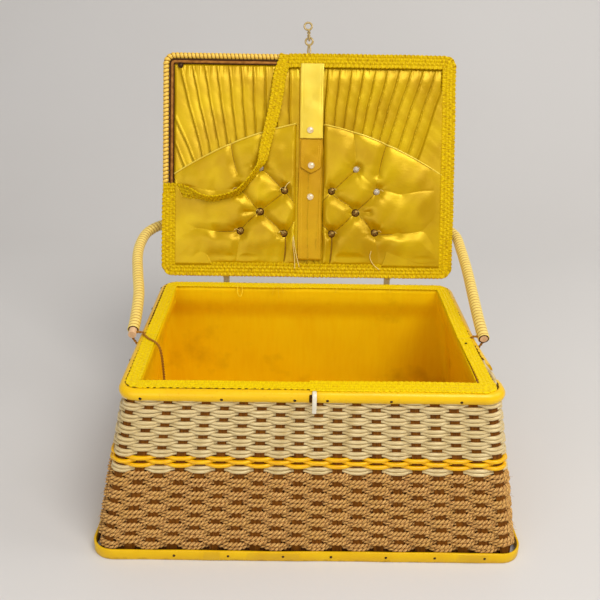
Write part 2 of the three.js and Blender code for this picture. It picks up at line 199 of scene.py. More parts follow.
def smooth_path(points, step):
    """A Catmull-Rom curve through points, in even steps."""
    points = np.asarray(points, float)
    padded = np.concatenate([2 * points[:1] - points[1:2], points, 2 * points[-1:] - points[-2:-1]])
    t = np.linspace(0, 1, 12, endpoint=False)[:, None]
    spans = []
    for a, b, c, d in zip(padded, padded[1:], padded[2:], padded[3:]):
        curve = 2 * b + (c - a) * t + (2 * a - 5 * b + 4 * c - d) * t**2 + (3 * b - a - 3 * c + d) * t**3
        spans.append(curve / 2)
    dense = np.concatenate(spans + [points[-1:]])
    length = arc_lengths(dense)
    spots = np.linspace(0, length[-1], max(int(length[-1] / step), 2) + 1)
    return np.stack([np.interp(spots, length, dense[:, k]) for k in range(3)], -1)


def directions(path, up, closed=False):
    """Side and up directions at each point of a path, square to it."""
    if closed:
        ahead = np.roll(path, -1, 0) - np.roll(path, 1, 0)
    else:
        ahead = np.gradient(path, axis=0)
    side = unit(np.cross(ahead, np.broadcast_to(up, path.shape)))
    return side, unit(np.cross(side, ahead))


def sweep(shape, path, section, up, closed=False, **uv):
    """Carries a section[place] or section[point, place] of (side, up) offsets along a path."""
    side, above = directions(path, up, closed)
    section = np.broadcast_to(section, (len(path),) + np.shape(section)[-2:])
    points = path[:, None] + section[..., :1] * side[:, None] + section[..., 1:] * above[:, None]
    shape.tube(points, closed, **uv)


def circle(radius, sides, rings=None):
    """A round section. With rings, radius is one number or array per ring."""
    unit_circle = np.stack([np.cos(angles(sides)), np.sin(angles(sides))], -1)
    if rings is None:
        return radius * unit_circle
    return np.reshape(radius, (rings, -1, 1)) * unit_circle


def rod(shape, points, radius, up=UP, sides=8, step=1.0):
    sweep(shape, smooth_path(points, step), circle(radius, sides), up)


def whole_lay(length, lay):
    """The lay nearest to this one that ends in step with its start on a closed path."""
    return length[-1] / max(round(length[-1] / lay), 1)


def rope(shape, path, radius, lay, sides=10):
    """A closed cord of two plies: a two-lobed section that turns once for each lay of its length.

    The UV map's second number follows the plies round, so that their groove lies at one place in it."""
    length = arc_lengths(path, True)
    lay = whole_lay(length, lay)
    turn = 2 * math.pi * length[:-1, None] / lay
    lobes = np.reshape(radius, (-1, 1)) * np.maximum(np.abs(np.cos(angles(sides) - turn)) ** 0.9, 0.4)
    sweep(shape, path, lobes[..., None] * circle(1, sides), UP, True, along=length, twist=-length / lay)


def bundle(shape, path, radius, lay, up, closed=False):
    """A twisted cord of two plies that are strands of their own."""
    length = arc_lengths(path, closed)
    if closed:
        lay = whole_lay(length, lay)
    side, above = directions(path, up, closed)
    ply = radius / 2
    for k in range(2):
        turn = 2 * math.pi * (length[: len(path)] / lay + k / 2)
        centre = path + (radius - ply) * (np.cos(turn)[:, None] * side + np.sin(turn)[:, None] * above)
        sweep(shape, centre, circle(ply, 7), up, closed)


def wave(values, seed, size, octaves=4):
    """Smooth noise of about one, made of sines with seeded phases."""
    source = np.random.default_rng(seed)
    total = np.zeros_like(np.asarray(values, float))
    for k in range(octaves):
        total += np.sin(values / size * 2**k * (1 + 0.3 * source.random()) + 6.3 * source.random()) / 1.6**k
    return total / 1.6


def outline(size, spots, inset=0.0):
    """Anchor points and outward directions round a rounded rectangle.

    Spots are distances from the front left corner, measured on the outline inset by inset. A point inset by d
    lies at anchor + (corner - d) * outward."""
    half_x, half_y, corner = size
    radius = corner - inset
    spans = [2 * (half_x - corner), 2 * (half_y - corner)] * 2
    arc = math.pi / 2 * radius
    left = np.mod(np.asarray(spots, float), sum(spans) + 4 * arc)
    anchor, outward = np.zeros(left.shape + (2,)), np.zeros(left.shape + (2,))
    for quarter, span in enumerate(spans):
        here = (left >= 0) & (left < span + arc)
        along = np.minimum(left, span) - span / 2
        bend = np.clip((left - span) / radius, 0, math.pi / 2) + quarter * math.pi / 2
        depth = (half_x if quarter % 2 else half_y) - corner
        c, s = round(math.cos(quarter * math.pi / 2)), round(math.sin(quarter * math.pi / 2))
        anchor[here] = np.stack([c * along + s * depth, s * along - c * depth], -1)[here]
        outward[here] = np.stack([np.sin(bend), -np.cos(bend)], -1)[here]
        left = left - (span + arc)
    return anchor, outward


def girth(size, inset):
    half_x, half_y, corner = size
    return 4 * (half_x + half_y - 2 * corner) + 2 * math.pi * (corner - inset)


def loop_path(size, spots, inset, z):
    """A path round an outline at one inset, with the direction that faces outwards at each point."""
    anchor, outward = outline(size, spots, inset)
    xy = anchor + (size[2] - inset) * outward
    z = np.broadcast_to(z, xy.shape[:1])
    return np.concatenate([xy, z[:, None]], 1), np.concatenate([outward, 0 * z[:, None]], 1)


def carried(path, outward, section):
    """Rings of section[..., (outwards, up)] offsets along a path round the basket."""
    return path[:, None] + section[..., :1] * outward[:, None] + section[..., 1:] * UP


def around_lid(spots, inset, out):
    """A path round the lid, in the lid's own frame."""
    return loop_path(LID_SIZE, spots, inset, out)[0] + (0, LID_MIDDLE, 0)


WALL_GIRTH = girth(WALL_SIZE, WALL_DATUM)
STAKE_PITCH = WALL_GIRTH / STAKES


def spread_corner(points, share=1.0):
    """With age both front corners have moved outwards a little, the left one only low down."""
    moved = np.array(points, float)
    x, y, z = moved[..., 0], moved[..., 1], moved[..., 2]
    reach = share * ease(-(y + 5) / 110)
    low = np.clip(1 - z / WALL_TOP, 0, 1) ** 0.8 * (1 - 0.45 * np.exp(-z / 14))
    right, left = np.clip(x / 165, 0, 1) ** 2, np.clip(-x / 165, 0, 1) ** 2
    moved[..., 0] = x + reach * (5.5 * right - 6.2 * low * left)
    return moved


def on_wall(place, inset, z, spread=1.0):
    """Points of the flared wall. Place is counted in stakes from the front left corner."""
    place, inset, z = np.broadcast_arrays(np.asarray(place, float), inset, z)
    anchor, outward = outline(WALL_SIZE, (place + FIRST_STAKE) / STAKES * WALL_GIRTH, WALL_DATUM)
    xy = anchor + (WALL_SIZE[2] - inset)[..., None] * outward
    down = (1 - z / WALL_TOP)[..., None]
    xy = xy * (1 + np.array(FLARE) * down)
    return spread_corner(np.concatenate([xy, z[..., None]], -1), spread)


# ---------------------------------------------------------------- materials


class Finish:
    """A procedural material: node helpers round one Principled shader."""

    def __init__(self, name, roughness=0.5, **constants):
        self.material = bpy.data.materials.new(name)
        self.material.use_nodes = True
        self.tree = self.material.node_tree
        self.shader = self.tree.nodes["Principled BSDF"]
        self.set("Roughness", roughness)
        for socket, value in constants.items():
            self.set(socket.replace("_", " "), value)
        self.object = self.tree.nodes.new("ShaderNodeTexCoord").outputs["Object"]
        self.uv = self.tree.nodes.new("ShaderNodeUVMap").outputs["UV"]

    def set(self, socket, value):
        self.link(value, self.shader.inputs[socket])

    def link(self, value, socket):
        if isinstance(value, bpy.types.NodeSocket):
            self.tree.links.new(value, socket)
        else:
            socket.default_value = value

    def node(self, kind, inputs, output=0, **settings):
        made = self.tree.nodes.new(kind)
        for key, value in settings.items():
            setattr(made, key, value)
        for key, value in inputs.items():
            self.link(value, made.inputs[key])
        return made.outputs[output]

    def math(self, operation, a, b=0.5):
        return self.node("ShaderNodeMath", {0: a, 1: b}, operation=operation)

    def noise(self, scale, detail=3.0, stretch=(1, 1, 1), vector=None):
        """Noise of the given scale per metre, or per millimetre of a UV map."""
        space = self.node(
            "ShaderNodeMapping", {"Vector": self.object if vector is None else vector, "Scale": stretch}
        )
        return self.node("ShaderNodeTexNoise", {"Vector": space, "Scale": scale, "Detail": detail})

    def ramp(self, factor, *stops):
        """A colour or grey for each share: stops are (place, colour)."""
        made = self.tree.nodes.new("ShaderNodeValToRGB")
        elements = made.color_ramp.elements
        while len(elements) < len(stops):
            elements.new(0.5)
        for element, (place, colour) in zip(elements, stops):
            element.position = place
            element.color = colour if len(colour) == 4 else (*colour, 1)
        self.link(factor, made.inputs["Fac"])
        return made.outputs["Color"]

    def mix(self, factor, a, b, blend="MIX"):
        made = self.tree.nodes.new("ShaderNodeMix")
        made.data_type = "RGBA"
        made.blend_type = blend
        sockets = [s for s in made.inputs if s.enabled]
        for value, socket in zip((factor, a, b), sockets):
            self.link(value, socket)
        return next(s for s in made.outputs if s.enabled)

    def fade(self, factor, low, high, a, b):
        """Colour a where the factor is under low, b where it is over high."""
        return self.mix(self.ramp(factor, (low, GREY[0]), (high, GREY[4])), a, b)

    def vary(self, scale, detail, low, high, least, most):
        """Roughness that runs from least, where the noise is under low, to most, where it is over high."""
        self.set("Roughness", self.ramp(self.noise(scale, detail), (low, (least,) * 3), (high, (most,) * 3)))

    def bump(self, height, distance):
        """Raises the surface by up to distance millimetres, and hands the finished material back."""
        inputs = {"Height": height, "Distance": distance * MM}
        self.set("Normal", self.node("ShaderNodeBump", inputs))
        return self.material


def rgb(red, green, blue):
    """A colour as screens show it, turned into the shader's linear values."""
    shares = (red, green, blue)
    return tuple(((c / 255 + 0.055) / 1.055) ** 2.4 if c > 10 else c / 3295 for c in shares) + (1,)


GREY = [(v, v, v) for v in (0.0, 0.25, 0.5, 0.75, 1.0)]
GOLDEN = (1.0, 0.84, 0.38, 1.0)  # tint of the gleam on dyed yellow stuff
LEMON = (1.0, 0.95, 0.3, 1.0)  # the same on satin


def cane_finish():
    """Smooth yellow vinyl with faint grime and a little unevenness."""
    f = Finish("yellow_vinyl_cane", 0.34, Coat_Weight=0.15, Coat_Roughness=0.25, Specular_Tint=GOLDEN)
    tone = f.mix(f.noise(38, 3), rgb(228, 172, 0), rgb(242, 198, 2))
    grime = f.ramp(f.noise(240, 5), (0.62, GREY[0]), (0.78, GREY[4]))
    f.set("Base Color", f.mix(f.math("MULTIPLY", grime, 0.35), tone, rgb(150, 98, 8)))
    f.vary(90, 4, 0.3, 0.7, 0.26, 0.46)
    return f.bump(f.noise(60, 2), 0.5)


def band_finish():
    """The painted band at the foot, darker in patches along its lower edge: painted shade."""
    f = Finish("yellow_band", 0.42, Specular_Tint=GOLDEN)
    tone = f.mix(f.noise(55, 4), rgb(212, 160, 4), rgb(234, 192, 12))
    low = f.node("ShaderNodeSeparateXYZ", {0: f.object}, output=2)
    height = f.math("ADD", f.math("MULTIPLY", low, 90), f.noise(120, 4))
    # painted shade: the band turns darker in patches towards its lower edge
    low_edge_shade = f.ramp(height, (0.42, GREY[4]), (0.66, GREY[0]))
    f.set("Base Color", f.mix(f.math("MULTIPLY", low_edge_shade, 0.5), tone, rgb(150, 105, 20)))
    return f.bump(f.noise(150, 3), 0.3)


def strand_finish(name, light, dark, roughness=0.36):
    """Round vinyl strand, streaked along its length and darker in random patches."""
    f = Finish(name, roughness, Coat_Weight=0.15, Coat_Roughness=0.3, Specular_Tint=GOLDEN)
    streak = f.noise(0.9, 4, (0.12, 14, 1), f.uv)
    patch = f.noise(55, 3)
    tone = f.fade(streak, 0.36, 0.64, dark, light)
    f.set("Base Color", f.mix(f.math("MULTIPLY", patch, 0.45), tone, dark))
    return f.bump(streak, 0.12)


def braid_finish(name="yellow_braid", light=rgb(238, 206, 0), dark=rgb(208, 160, 0)):
    """Rayon trim: fine yarn that crosses the braid, with a soft gleam."""
    f = Finish(name, 0.5, Specular_IOR_Level=0.2, Specular_Tint=GOLDEN)
    yarn = f.noise(1.3, 3, (1, 2.5, 1), f.uv)
    patch = f.noise(45, 3)
    tone = f.fade(yarn, 0.32, 0.6, dark, light)
    f.set("Base Color", f.mix(f.math("MULTIPLY", patch, 0.5), tone, light))
    return f.bump(yarn, 0.1)


def wrap_finish(name, light, dark, groove_shade_colour, edge, roughness=0.33):
    """A strip wound round a rod, with painted shade in the grooves between its turns. The UV's second number
    runs from one edge of the strip to the other.
    """
    f = Finish(name, roughness, Coat_Weight=0.2, Coat_Roughness=0.22, Specular_Tint=GOLDEN)
    turn = f.node("ShaderNodeSeparateXYZ", {0: f.uv}, output=1)
    share = f.math("FRACT", turn)
    groove = f.math("ABSOLUTE", f.math("SUBTRACT", share, 0.5))
    tone = f.mix(f.noise(120, 4), dark, light)
    # painted shade: the strip's edges take the dark groove colour
    f.set("Base Color", f.fade(groove, edge, 0.46, tone, groove_shade_colour))
    return f.bump(f.noise(500, 3), 0.08)


def seagrass_finish():
    """Twisted dry grass: straw to brown, each ply streaked, with painted shade in the groove between the
    plies.
    """
    f = Finish("seagrass", 0.85, Specular_IOR_Level=0.3)
    streak = f.noise(1.1, 5, (0.5, 9, 1), f.uv)
    patch = f.noise(70, 4)
    straw = f.fade(streak, 0.36, 0.66, rgb(160, 104, 46), rgb(238, 190, 112))
    straw = f.mix(f.ramp(patch, (0.42, GREY[0]), (0.8, GREY[3])), straw, rgb(200, 152, 74))
    # painted shade: dark brown in the groove between the two plies
    ply = f.node("ShaderNodeSeparateXYZ", {0: f.uv}, output=1)
    across = f.math("ABSOLUTE", f.math("COSINE", f.math("MULTIPLY", ply, 2 * math.pi)))
    f.set("Base Color", f.fade(across, 0.08, 0.5, rgb(88, 50, 14), straw))
    return f.bump(f.mix(0.5, streak, f.noise(1500, 3)), 0.5)


def fibre_finish(name, light, dark, stretch):
    """Pressed or twisted fibre with a grain along one axis."""
    f = Finish(name, 0.8, Specular_IOR_Level=0.15)
    grain = f.noise(700, 5, stretch)
    tone = f.fade(grain, 0.3, 0.72, dark, light)
    f.set("Base Color", f.mix(f.math("MULTIPLY", f.noise(60, 2), 0.4), tone, dark))
    return f.bump(grain, 0.3)


def lining_finish():
    """Plain-woven rayon lining, faded and a little soiled."""
    f = Finish("lining_cloth", 0.62, Specular_IOR_Level=0.2, Specular_Tint=GOLDEN)
    yarn = {"Vector": f.object, "Scale": 520.0, "Distortion": 2.0}
    warp = f.node("ShaderNodeTexWave", {**yarn, "Detail": 2.0})
    weft = f.node("ShaderNodeTexWave", yarn, bands_direction="Z")
    tone = f.mix(f.noise(22, 3), rgb(240, 188, 0), rgb(250, 210, 0))
    slub = f.ramp(f.noise(260, 3, (1, 1, 0.12)), (0.35, GREY[0]), (0.65, GREY[4]))
    cloth = f.mix(f.math("MULTIPLY", slub, 0.22), tone, rgb(255, 222, 28))
    stain = f.ramp(f.noise(30, 5), (0.58, GREY[0]), (0.8, GREY[4]))
    f.set("Base Color", f.mix(f.math("MULTIPLY", stain, 0.35), cloth, rgb(170, 112, 0)))
    return f.bump(f.mix(0.5, warp, weft), 0.1)


def satin_finish(name="satin", light=rgb(206, 170, 2), dark=rgb(182, 140, 0)):
    """Acetate satin: smooth, with a soft broad gleam and fine cross threads."""
    f = Finish(name, 0.3, Metallic=0.2, Anisotropic=0.4, Specular_IOR_Level=0.6, Specular_Tint=LEMON)
    thread = f.noise(900, 3, (0.15, 1, 1))
    tone = f.fade(f.noise(26, 3), 0.35, 0.7, dark, light)
    f.set("Base Color", f.mix(f.math("MULTIPLY", thread, 0.2), tone, dark))
    f.vary(50, 3, 0.3, 0.75, 0.3, 0.42)
    return f.bump(f.mix(0.6, thread, f.noise(110, 3)), 0.16)


def twine_finish():
    """Brown twisted cord, streaked along its plies."""
    f = Finish("twine", 0.75, Specular_IOR_Level=0.3)
    streak = f.noise(1.6, 4, (0.5, 8, 1), f.uv)
    f.set("Base Color", f.fade(streak, 0.3, 0.7, rgb(120, 66, 8), rgb(196, 138, 30)))
    return f.bump(streak, 0.3)


def metal_finish(name, bright, dull, roughness):
    """Tarnished metal, bright where it has been rubbed."""
    f = Finish(name, roughness, Metallic=0.85)
    f.set("Base Color", f.fade(f.noise(900, 4), 0.35, 0.65, dull, bright))
    f.vary(1300, 3, 0.3, 0.7, roughness - 0.1, roughness + 0.2)
    return f.bump(f.noise(1500, 3), 0.1)


def pearl_finish():
    """Pearlised plastic with a swirl of cream and tan."""
    f = Finish("pearl_snap", 0.2, Coat_Weight=0.6, Coat_Roughness=0.1, Specular_IOR_Level=0.7)
    swirl = f.noise(420, 4)
    tones = (0.3, rgb(206, 168, 120)), (0.5, rgb(228, 206, 160)), (0.7, rgb(196, 178, 142))
    f.set("Base Color", f.ramp(swirl, *tones))
    return f.bump(swirl, 0.05)


def gem_finish():
    """The glass stones on the tufts."""
    f = Finish("glass_gem", 0.08, Transmission_Weight=0.55, IOR=1.52)
    f.set("Base Color", f.mix(f.noise(800, 2), rgb(250, 240, 214), rgb(255, 250, 240)))
    return f.material


def clear_vinyl_finish(name, light, dark, clear):
    """Vinyl cord that lets some light through."""
    f = Finish(name, 0.25, Coat_Weight=0.3, Coat_Roughness=0.2, Transmission_Weight=clear)
    streak = f.noise(1.0, 3, (0.2, 6, 1), f.uv)
    f.set("Base Color", f.mix(streak, dark, light))
    return f.bump(streak, 0.1)


def backdrop_finish():
    """Pale studio paper."""
    f = Finish("backdrop_paper", 0.9)
    f.set("Base Color", f.mix(f.noise(1.5, 2), rgb(207, 203, 198), rgb(214, 211, 207)))
    return f.material


CANE = cane_finish()
BAND = band_finish()
CREAM = strand_finish("cream_vinyl", rgb(234, 214, 164), rgb(186, 160, 106))
AMBER = strand_finish("yellow_vinyl_strand", rgb(248, 200, 6), rgb(222, 156, 2), 0.32)
BRAID = braid_finish()
# painted shade: a darker copy of the rim's braid for the lid, its deep tone standing for the shade between
# the loops
LID_BRAID = braid_finish("lid_braid", rgb(222, 188, 0), rgb(148, 96, 0))
THREAD = braid_finish("loose_thread", rgb(248, 212, 40), rgb(222, 166, 4))
PALE_THREAD = braid_finish("pale_thread", rgb(244, 222, 140), rgb(218, 186, 96))
# the third colour of each wrap is painted shade for the grooves between turns
HANDLE_WRAP = wrap_finish("handle_wrap_vinyl", rgb(243, 219, 128), rgb(230, 196, 92), rgb(178, 122, 36), 0.34)
LID_WRAP = wrap_finish("lid_wrap_vinyl", rgb(246, 206, 96), rgb(230, 178, 52), rgb(132, 88, 10), 0.3)
WHITE = clear_vinyl_finish("white_vinyl", rgb(236, 230, 212), rgb(214, 202, 172), 0.0)
CLOSURE = clear_vinyl_finish("closure_vinyl", rgb(222, 196, 124), rgb(150, 116, 52), 0.15)
CLEAR = clear_vinyl_finish("clear_vinyl_cord", rgb(228, 216, 180), rgb(182, 166, 118), 0.3)
SEAGRASS = seagrass_finish()
STAKE = fibre_finish("stake_fibre", rgb(142, 84, 12), rgb(86, 46, 2), (1, 1, 0.06))
BOARD = fibre_finish("fibreboard", rgb(126, 74, 20), rgb(72, 38, 8), (1, 0.3, 0.3))
EDGE_STRIP = fibre_finish("edge_strip", rgb(190, 128, 58), rgb(128, 78, 26), (0.3, 0.3, 0.3))
WOOD = fibre_finish("wood", rgb(236, 200, 156), rgb(208, 162, 118), (1, 0.05, 0.2))
# painted shade: a dark material for the shade in stitch holes, slits, hollows and the peg's hole
PAINTED_SHADE = fibre_finish("stitch_shadow", rgb(88, 48, 6), rgb(44, 22, 2), (1, 1, 1))
LINING = lining_finish()
SATIN = satin_finish()
STRAP_SATIN = satin_finish("strap_satin", rgb(204, 156, 4), rgb(186, 134, 0))
FOLD_SHADOW = satin_finish("fold_shadow", rgb(150, 104, 0), rgb(112, 72, 0))
# painted highlight: a lighter copy of the satin for the hems and the upper strap
HIGHLIGHT_SATIN = satin_finish("satin_painted_highlight", rgb(240, 216, 92), rgb(224, 190, 56))
TWINE = twine_finish()
NAIL = metal_finish("nail_steel", rgb(96, 66, 40), rgb(36, 24, 14), 0.5)
TUFT = metal_finish("tuft_metal", rgb(186, 148, 74), rgb(84, 58, 18), 0.4)
PEARL = pearl_finish()
GEM = gem_finish()


def piece(shape, name, material, body, slot, *replaced, sharp=None):
    """Makes the mesh, gives it its material, sets it on its body and hides the CAD nodes it stands for."""
    made = shape.make(name, sharp)
    made.data.materials.append(material)
    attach(made, body)
    if replaced:
        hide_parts(*replaced)
    return made


def dress(node, material):
    """Gives a CAD node that stays in view its material."""
    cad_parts[node].data.materials.clear()
    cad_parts[node].data.materials.append(material)


# ---------------------------------------------------------------- camera, light and backdrop


def make_camera():
    """A camera that looks down at the front, nearly level, with its angles in radians."""
    place, pitch, yaw, roll = (-0.01474, -0.67544, 0.49437), 0.40992, 0.00927, 0.01702
    ahead = np.array([math.sin(yaw) * math.cos(pitch), math.cos(yaw) * math.cos(pitch), -math.sin(pitch)])
    level = np.array([math.cos(yaw), -math.sin(yaw), 0])
    above = np.cross(level, ahead)
    right = math.cos(roll) * level + math.sin(roll) * above
    up = -math.sin(roll) * level + math.cos(roll) * above
    data = bpy.data.cameras.new("camera")
    data.sensor_width = 36
    data.lens = 45.115
    made = bpy.data.objects.new("camera", data)
    columns = np.eye(4)
    columns[:3, 0], columns[:3, 1], columns[:3, 2], columns[:3, 3] = right, up, -ahead, place
    made.matrix_world = Matrix(columns.tolist())
    bpy.context.scene.collection.objects.link(made)
    bpy.context.scene.camera = made


def area_light(name, place, aim, size, power, colour=(1, 1, 1)):
    """A rectangular light at place that faces aim, in metres and watts."""
    data = bpy.data.lights.new(name, "AREA")
    data.shape = "RECTANGLE"
    data.size, data.size_y = size
    data.energy = power
    data.color = colour
    made = bpy.data.objects.new(name, data)
    made.location = place
    made.rotation_euler = (Vector(aim) - Vector(place)).to_track_quat("-Z", "Y").to_euler()
    bpy.context.scene.collection.objects.link(made)


def make_stage():
    """A pale paper sweep: flat floor, a long curve and an upright back."""
    bend = np.linspace(0, math.pi / 2, 24)
    floor_y, radius, height, half = 700.0, 900.0, 3200.0, 4500.0
    y = np.concatenate([[-half], floor_y + radius * np.sin(bend), [floor_y + radius]])
    z = np.concatenate([[0.0], radius * (1 - np.cos(bend)), [height]]) - 0.2
    x = np.linspace(half, -half, 3)
    grid = np.stack(np.broadcast_arrays(x[:, None], y[None, :], z[None, :]), -1)
    shape = Shape()
    shape.grid(grid, wrap_columns=False)
    made = shape.make("backdrop")
    made.data.materials.append(backdrop_finish())


def make_light():
    """Soft studio light: a key from the front right, a wide fill and a glow on the paper behind."""
    scene = bpy.context.scene
    scene.view_settings.view_transform = "Standard"
    scene.world = bpy.data.worlds.new("studio")
    scene.world.use_nodes = True
    background = scene.world.node_tree.nodes["Background"]
    background.inputs["Color"].default_value = (0.97, 0.97, 1.0, 1)
    background.inputs["Strength"].default_value = 0.4
    target = (0, 0, 0.2)
    area_light("key", (0.75, -1.05, 2.1), target, (1.1, 1.1), 36, (1, 0.98, 0.95))
    area_light("fill", (-0.9, -1.9, 0.9), target, (1.9, 1.4), 15, (0.98, 0.98, 1))
    area_light("backdrop_glow", (1.7, -0.1, 1.5), (0.9, 0.7, 0.0), (0.9, 0.9), 9)


# ---------------------------------------------------------------- the woven wall


def weave_bow(place, phase, sharpness=1.5):
    """From 1 over a stake to -1 behind the next one."""
    return np.tanh(sharpness * np.cos(math.pi * (place - phase))) / math.tanh(sharpness)


def strand_path(z, phase, bow, step, seed, lift=0.0, spread=0.0):
    """A strand round the wall, over every second stake and behind the others, and how far it is over one.

    Lift is its height over the middle of its pair. Over a stake the two strands of a pair spread apart."""
    place = np.arange(0, STAKES, step)
    over = weave_bow(place, phase)
    front = np.maximum(over, 0)
    inset = STAKE_INSET - over * (bow + 0.16 * wave(place, seed, 3.1, 3))
    height = z + lift + np.sign(lift) * spread * front + 0.2 * wave(place, seed + 500, 5.0, 3) - 0.2 * over
    return on_wall(place, inset, height), front


def round_strand(shape, z, phase, radius, bow, seed, lift=0.0, spread=0.0, swell=0.0, sides=8):
    """One vinyl strand round the wall. It is thicker by swell where it passes over a stake."""
    path, front = strand_path(z, phase, bow, 1 / 9, seed, lift, spread)
    thick = radius * (1 + 0.05 * wave(np.arange(len(path)), seed + 900, 9.0, 3)) + swell * front
    sweep(shape, path, circle(thick, sides, len(path)), UP, closed=True)


CREAM_TOP, CREAM_PITCH, CREAM_ROWS = 152.0, 5.56, 9
LOWER_CREAM = 91.6
YELLOW_ROWS = (102.6, 99.2, 95.8)
SEAGRASS_TOP, SEAGRASS_PITCH = 85.4, 6.72


def cream_pair(shape, z, phase, seed):
    """A pair of cream strands, one above the other."""
    for strand, lift in enumerate((1.36, -1.36)):
        round_strand(shape, z, phase, 1.38, 1.25, seed + strand, lift, 0.5, 0.42)


def make_cream_weave():
    upper, lower = Shape(), Shape()
    # The row above the first one is half hidden by the cane.
    for row in range(-1, CREAM_ROWS):
        cream_pair(upper, CREAM_TOP - row * CREAM_PITCH, row % 2, 10 * row + 20)
    cream_pair(lower, LOWER_CREAM, 0, 300)
    piece(upper, "cream_rows_upper", CREAM, "basket", "cream_vinyl", "cream_weave_upper")
    piece(lower, "cream_row_lower", CREAM, "basket", "cream_vinyl", "cream_weave_lower")


def make_yellow_weave():
    """Three single strands, the middle one over the stakes that the others pass behind."""
    shape = Shape()
    for k, z in enumerate(YELLOW_ROWS):
        round_strand(shape, z, (k + 1) % 2, 1.8, 1.5, 400 + k, swell=0.25, sides=10)
    piece(shape, "yellow_rows", AMBER, "basket", "yellow_vinyl", "yellow_weave_band")


def make_seagrass_weave():
    """Each row is a pair of two-ply cords. The rows are joined in four bands of three."""
    for band in range(4):
        shape = Shape()
        for row in range(3 * band, 3 * band + 3):
            z = SEAGRASS_TOP - row * SEAGRASS_PITCH
            for strand, lift in enumerate((1.66, -1.66)):
                seed = 600 + 10 * row + strand
                path, front = strand_path(z, (row + 1) % 2, 1.6, 1 / 14, seed, lift, 0.45)
                rough = 1 + 0.1 * wave(np.arange(len(path)), seed + 900, 5.0, 4)
                rope(shape, path, (1.9 + 0.62 * front) * rough, 8.0 + 0.7 * strand)
        replaced = ["seagrass_weave"] if band == 0 else []
        piece(shape, f"seagrass_rows_{band + 1}", SEAGRASS, "basket", "seagrass", *replaced)


def make_fuzz():
    """Loose fibres that stand off the sea-grass cords."""
    shape = Shape()
    for _ in range(420):
        place, z = rng.uniform(0, STAKES), rng.uniform(12, 88)
        start = on_wall(place, 1.2, z)
        outward = unit(start * (1, 1, 0))
        reach, drift = rng.uniform(1.0, 2.4), rng.normal(0, 2.2, 3)
        points = [start, start + 0.6 * reach * outward + 0.5 * drift, start + reach * outward + drift]
        rod(shape, points, 0.1, outward + (0, 0, 0.1), 3, 1.2)
    piece(shape, "seagrass_fibres", SEAGRASS, "basket", "seagrass")


def make_stakes():
    """Flat stakes with rounded faces, not quite evenly wide or spaced."""
    shape = Shape()
    z = np.linspace(WALL_BOTTOM, WALL_TOP + 1, 10)
    half_width, half_depth = 3.9 / STAKE_PITCH, 0.65
    across = np.array([-1, -0.6, 0, 0.6, 1, 1, 0.6, 0, -0.6, -1])
    deep = np.array([0.7, 1, 1.15, 1, 0.7, -0.7, -1, -1, -1, -0.7])
    for k in range(STAKES):
        wide = half_width * rng.uniform(0.92, 1.06)
        places = k + rng.normal(0, 0.015) + wide * across
        shape.tube(on_wall(places[None, :], STAKE_INSET - half_depth * deep[None, :], z[:, None]))
    piece(shape, "stakes", STAKE, "basket", "stake_fibre", "stake_cage", sharp=40)


# ---------------------------------------------------------------- base, rim and braid


def make_base():
    """The foot band: a flat strip that waves a little, nailed through the front."""
    spots = np.arange(0, girth(BASE_SIZE, 1), 3.0)
    path, outward = loop_path(BASE_SIZE, spots, 1.15, 0)
    path = spread_corner(path, 0.8)
    rise = 10.4 + 0.45 * wave(spots, 31, 42.0, 3)
    proud = 1.1 + 0.35 * wave(spots, 32, 30.0, 3)
    out = np.array([-1.1, -1.1, -0.7, 0.5, 1.0, 1.0, 0.6, -0.7])
    high = np.array([0.05, 0.97, 1.0, 1.0, 0.95, 0.06, 0.0, 0.0])
    section = np.stack([out * np.where(out > 0, proud[:, None], 1), high * rise[:, None]], -1)
    shape = Shape()
    shape.tube(carried(path, outward, section)[:, ::-1], closed=True)
    piece(shape, "foot_band", BAND, "basket", "yellow_vinyl", "bottom_band", sharp=50)
    dress("base_board", BOARD)
    nails = Shape()
    half_x, half_y = BASE_SIZE[0] + 0.1, BASE_SIZE[1] + 0.1
    for side in (-1, 1):
        for x in (-120.8, -71.5, -21.3, 22.5, 72.7, 117.5, 163.2):
            dome(nails, (x, side * half_y, 5.4), (0, side, 0), 1.25, 0.8)
        for y in (-84.0, -28.0, 28.0, 84.0):
            dome(nails, (side * half_x, y, 5.4), (side, 0, 0), 1.25, 0.8)
    piece(nails, "foot_nails", NAIL, "basket", "steel")


# The outline of a round head as (share of its radius, share of its rise).
HEAD = [(0.15, -0.3), (1, -0.3), (1, 0.15), (0.94, 0.32), (0.76, 0.62), (0.5, 0.86), (0.2, 0.99), (0.03, 1)]


def dome(shape, place, facing, radius, rise, sides=12):
    """A low round head that faces one way, with its flat back at place."""
    facing = unit(np.asarray(facing, float))
    helper = np.array([1.0, 0, 0]) if abs(facing[0]) < 0.9 else np.array([0, 1.0, 0])
    side = unit(np.cross(helper, facing))
    above = np.cross(facing, side)
    angle = angles(sides)[:, None]
    ring = np.cos(angle) * side + np.sin(angle) * above
    rings = [np.asarray(place) + radius * r * ring + rise * h * facing for r, h in HEAD]
    shape.tube(np.stack(rings)[::-1])


BROKEN = (-98.0, -68.0)  # along Y, on the right: the cane is broken away here


def rim_spot(y):
    """The distance round the rim at which its right side passes y."""
    half_x, half_y, corner = RIM_SIZE
    return 2 * (half_x - corner) + math.pi / 2 * (corner - CANE_RADIUS) + y + half_y - corner


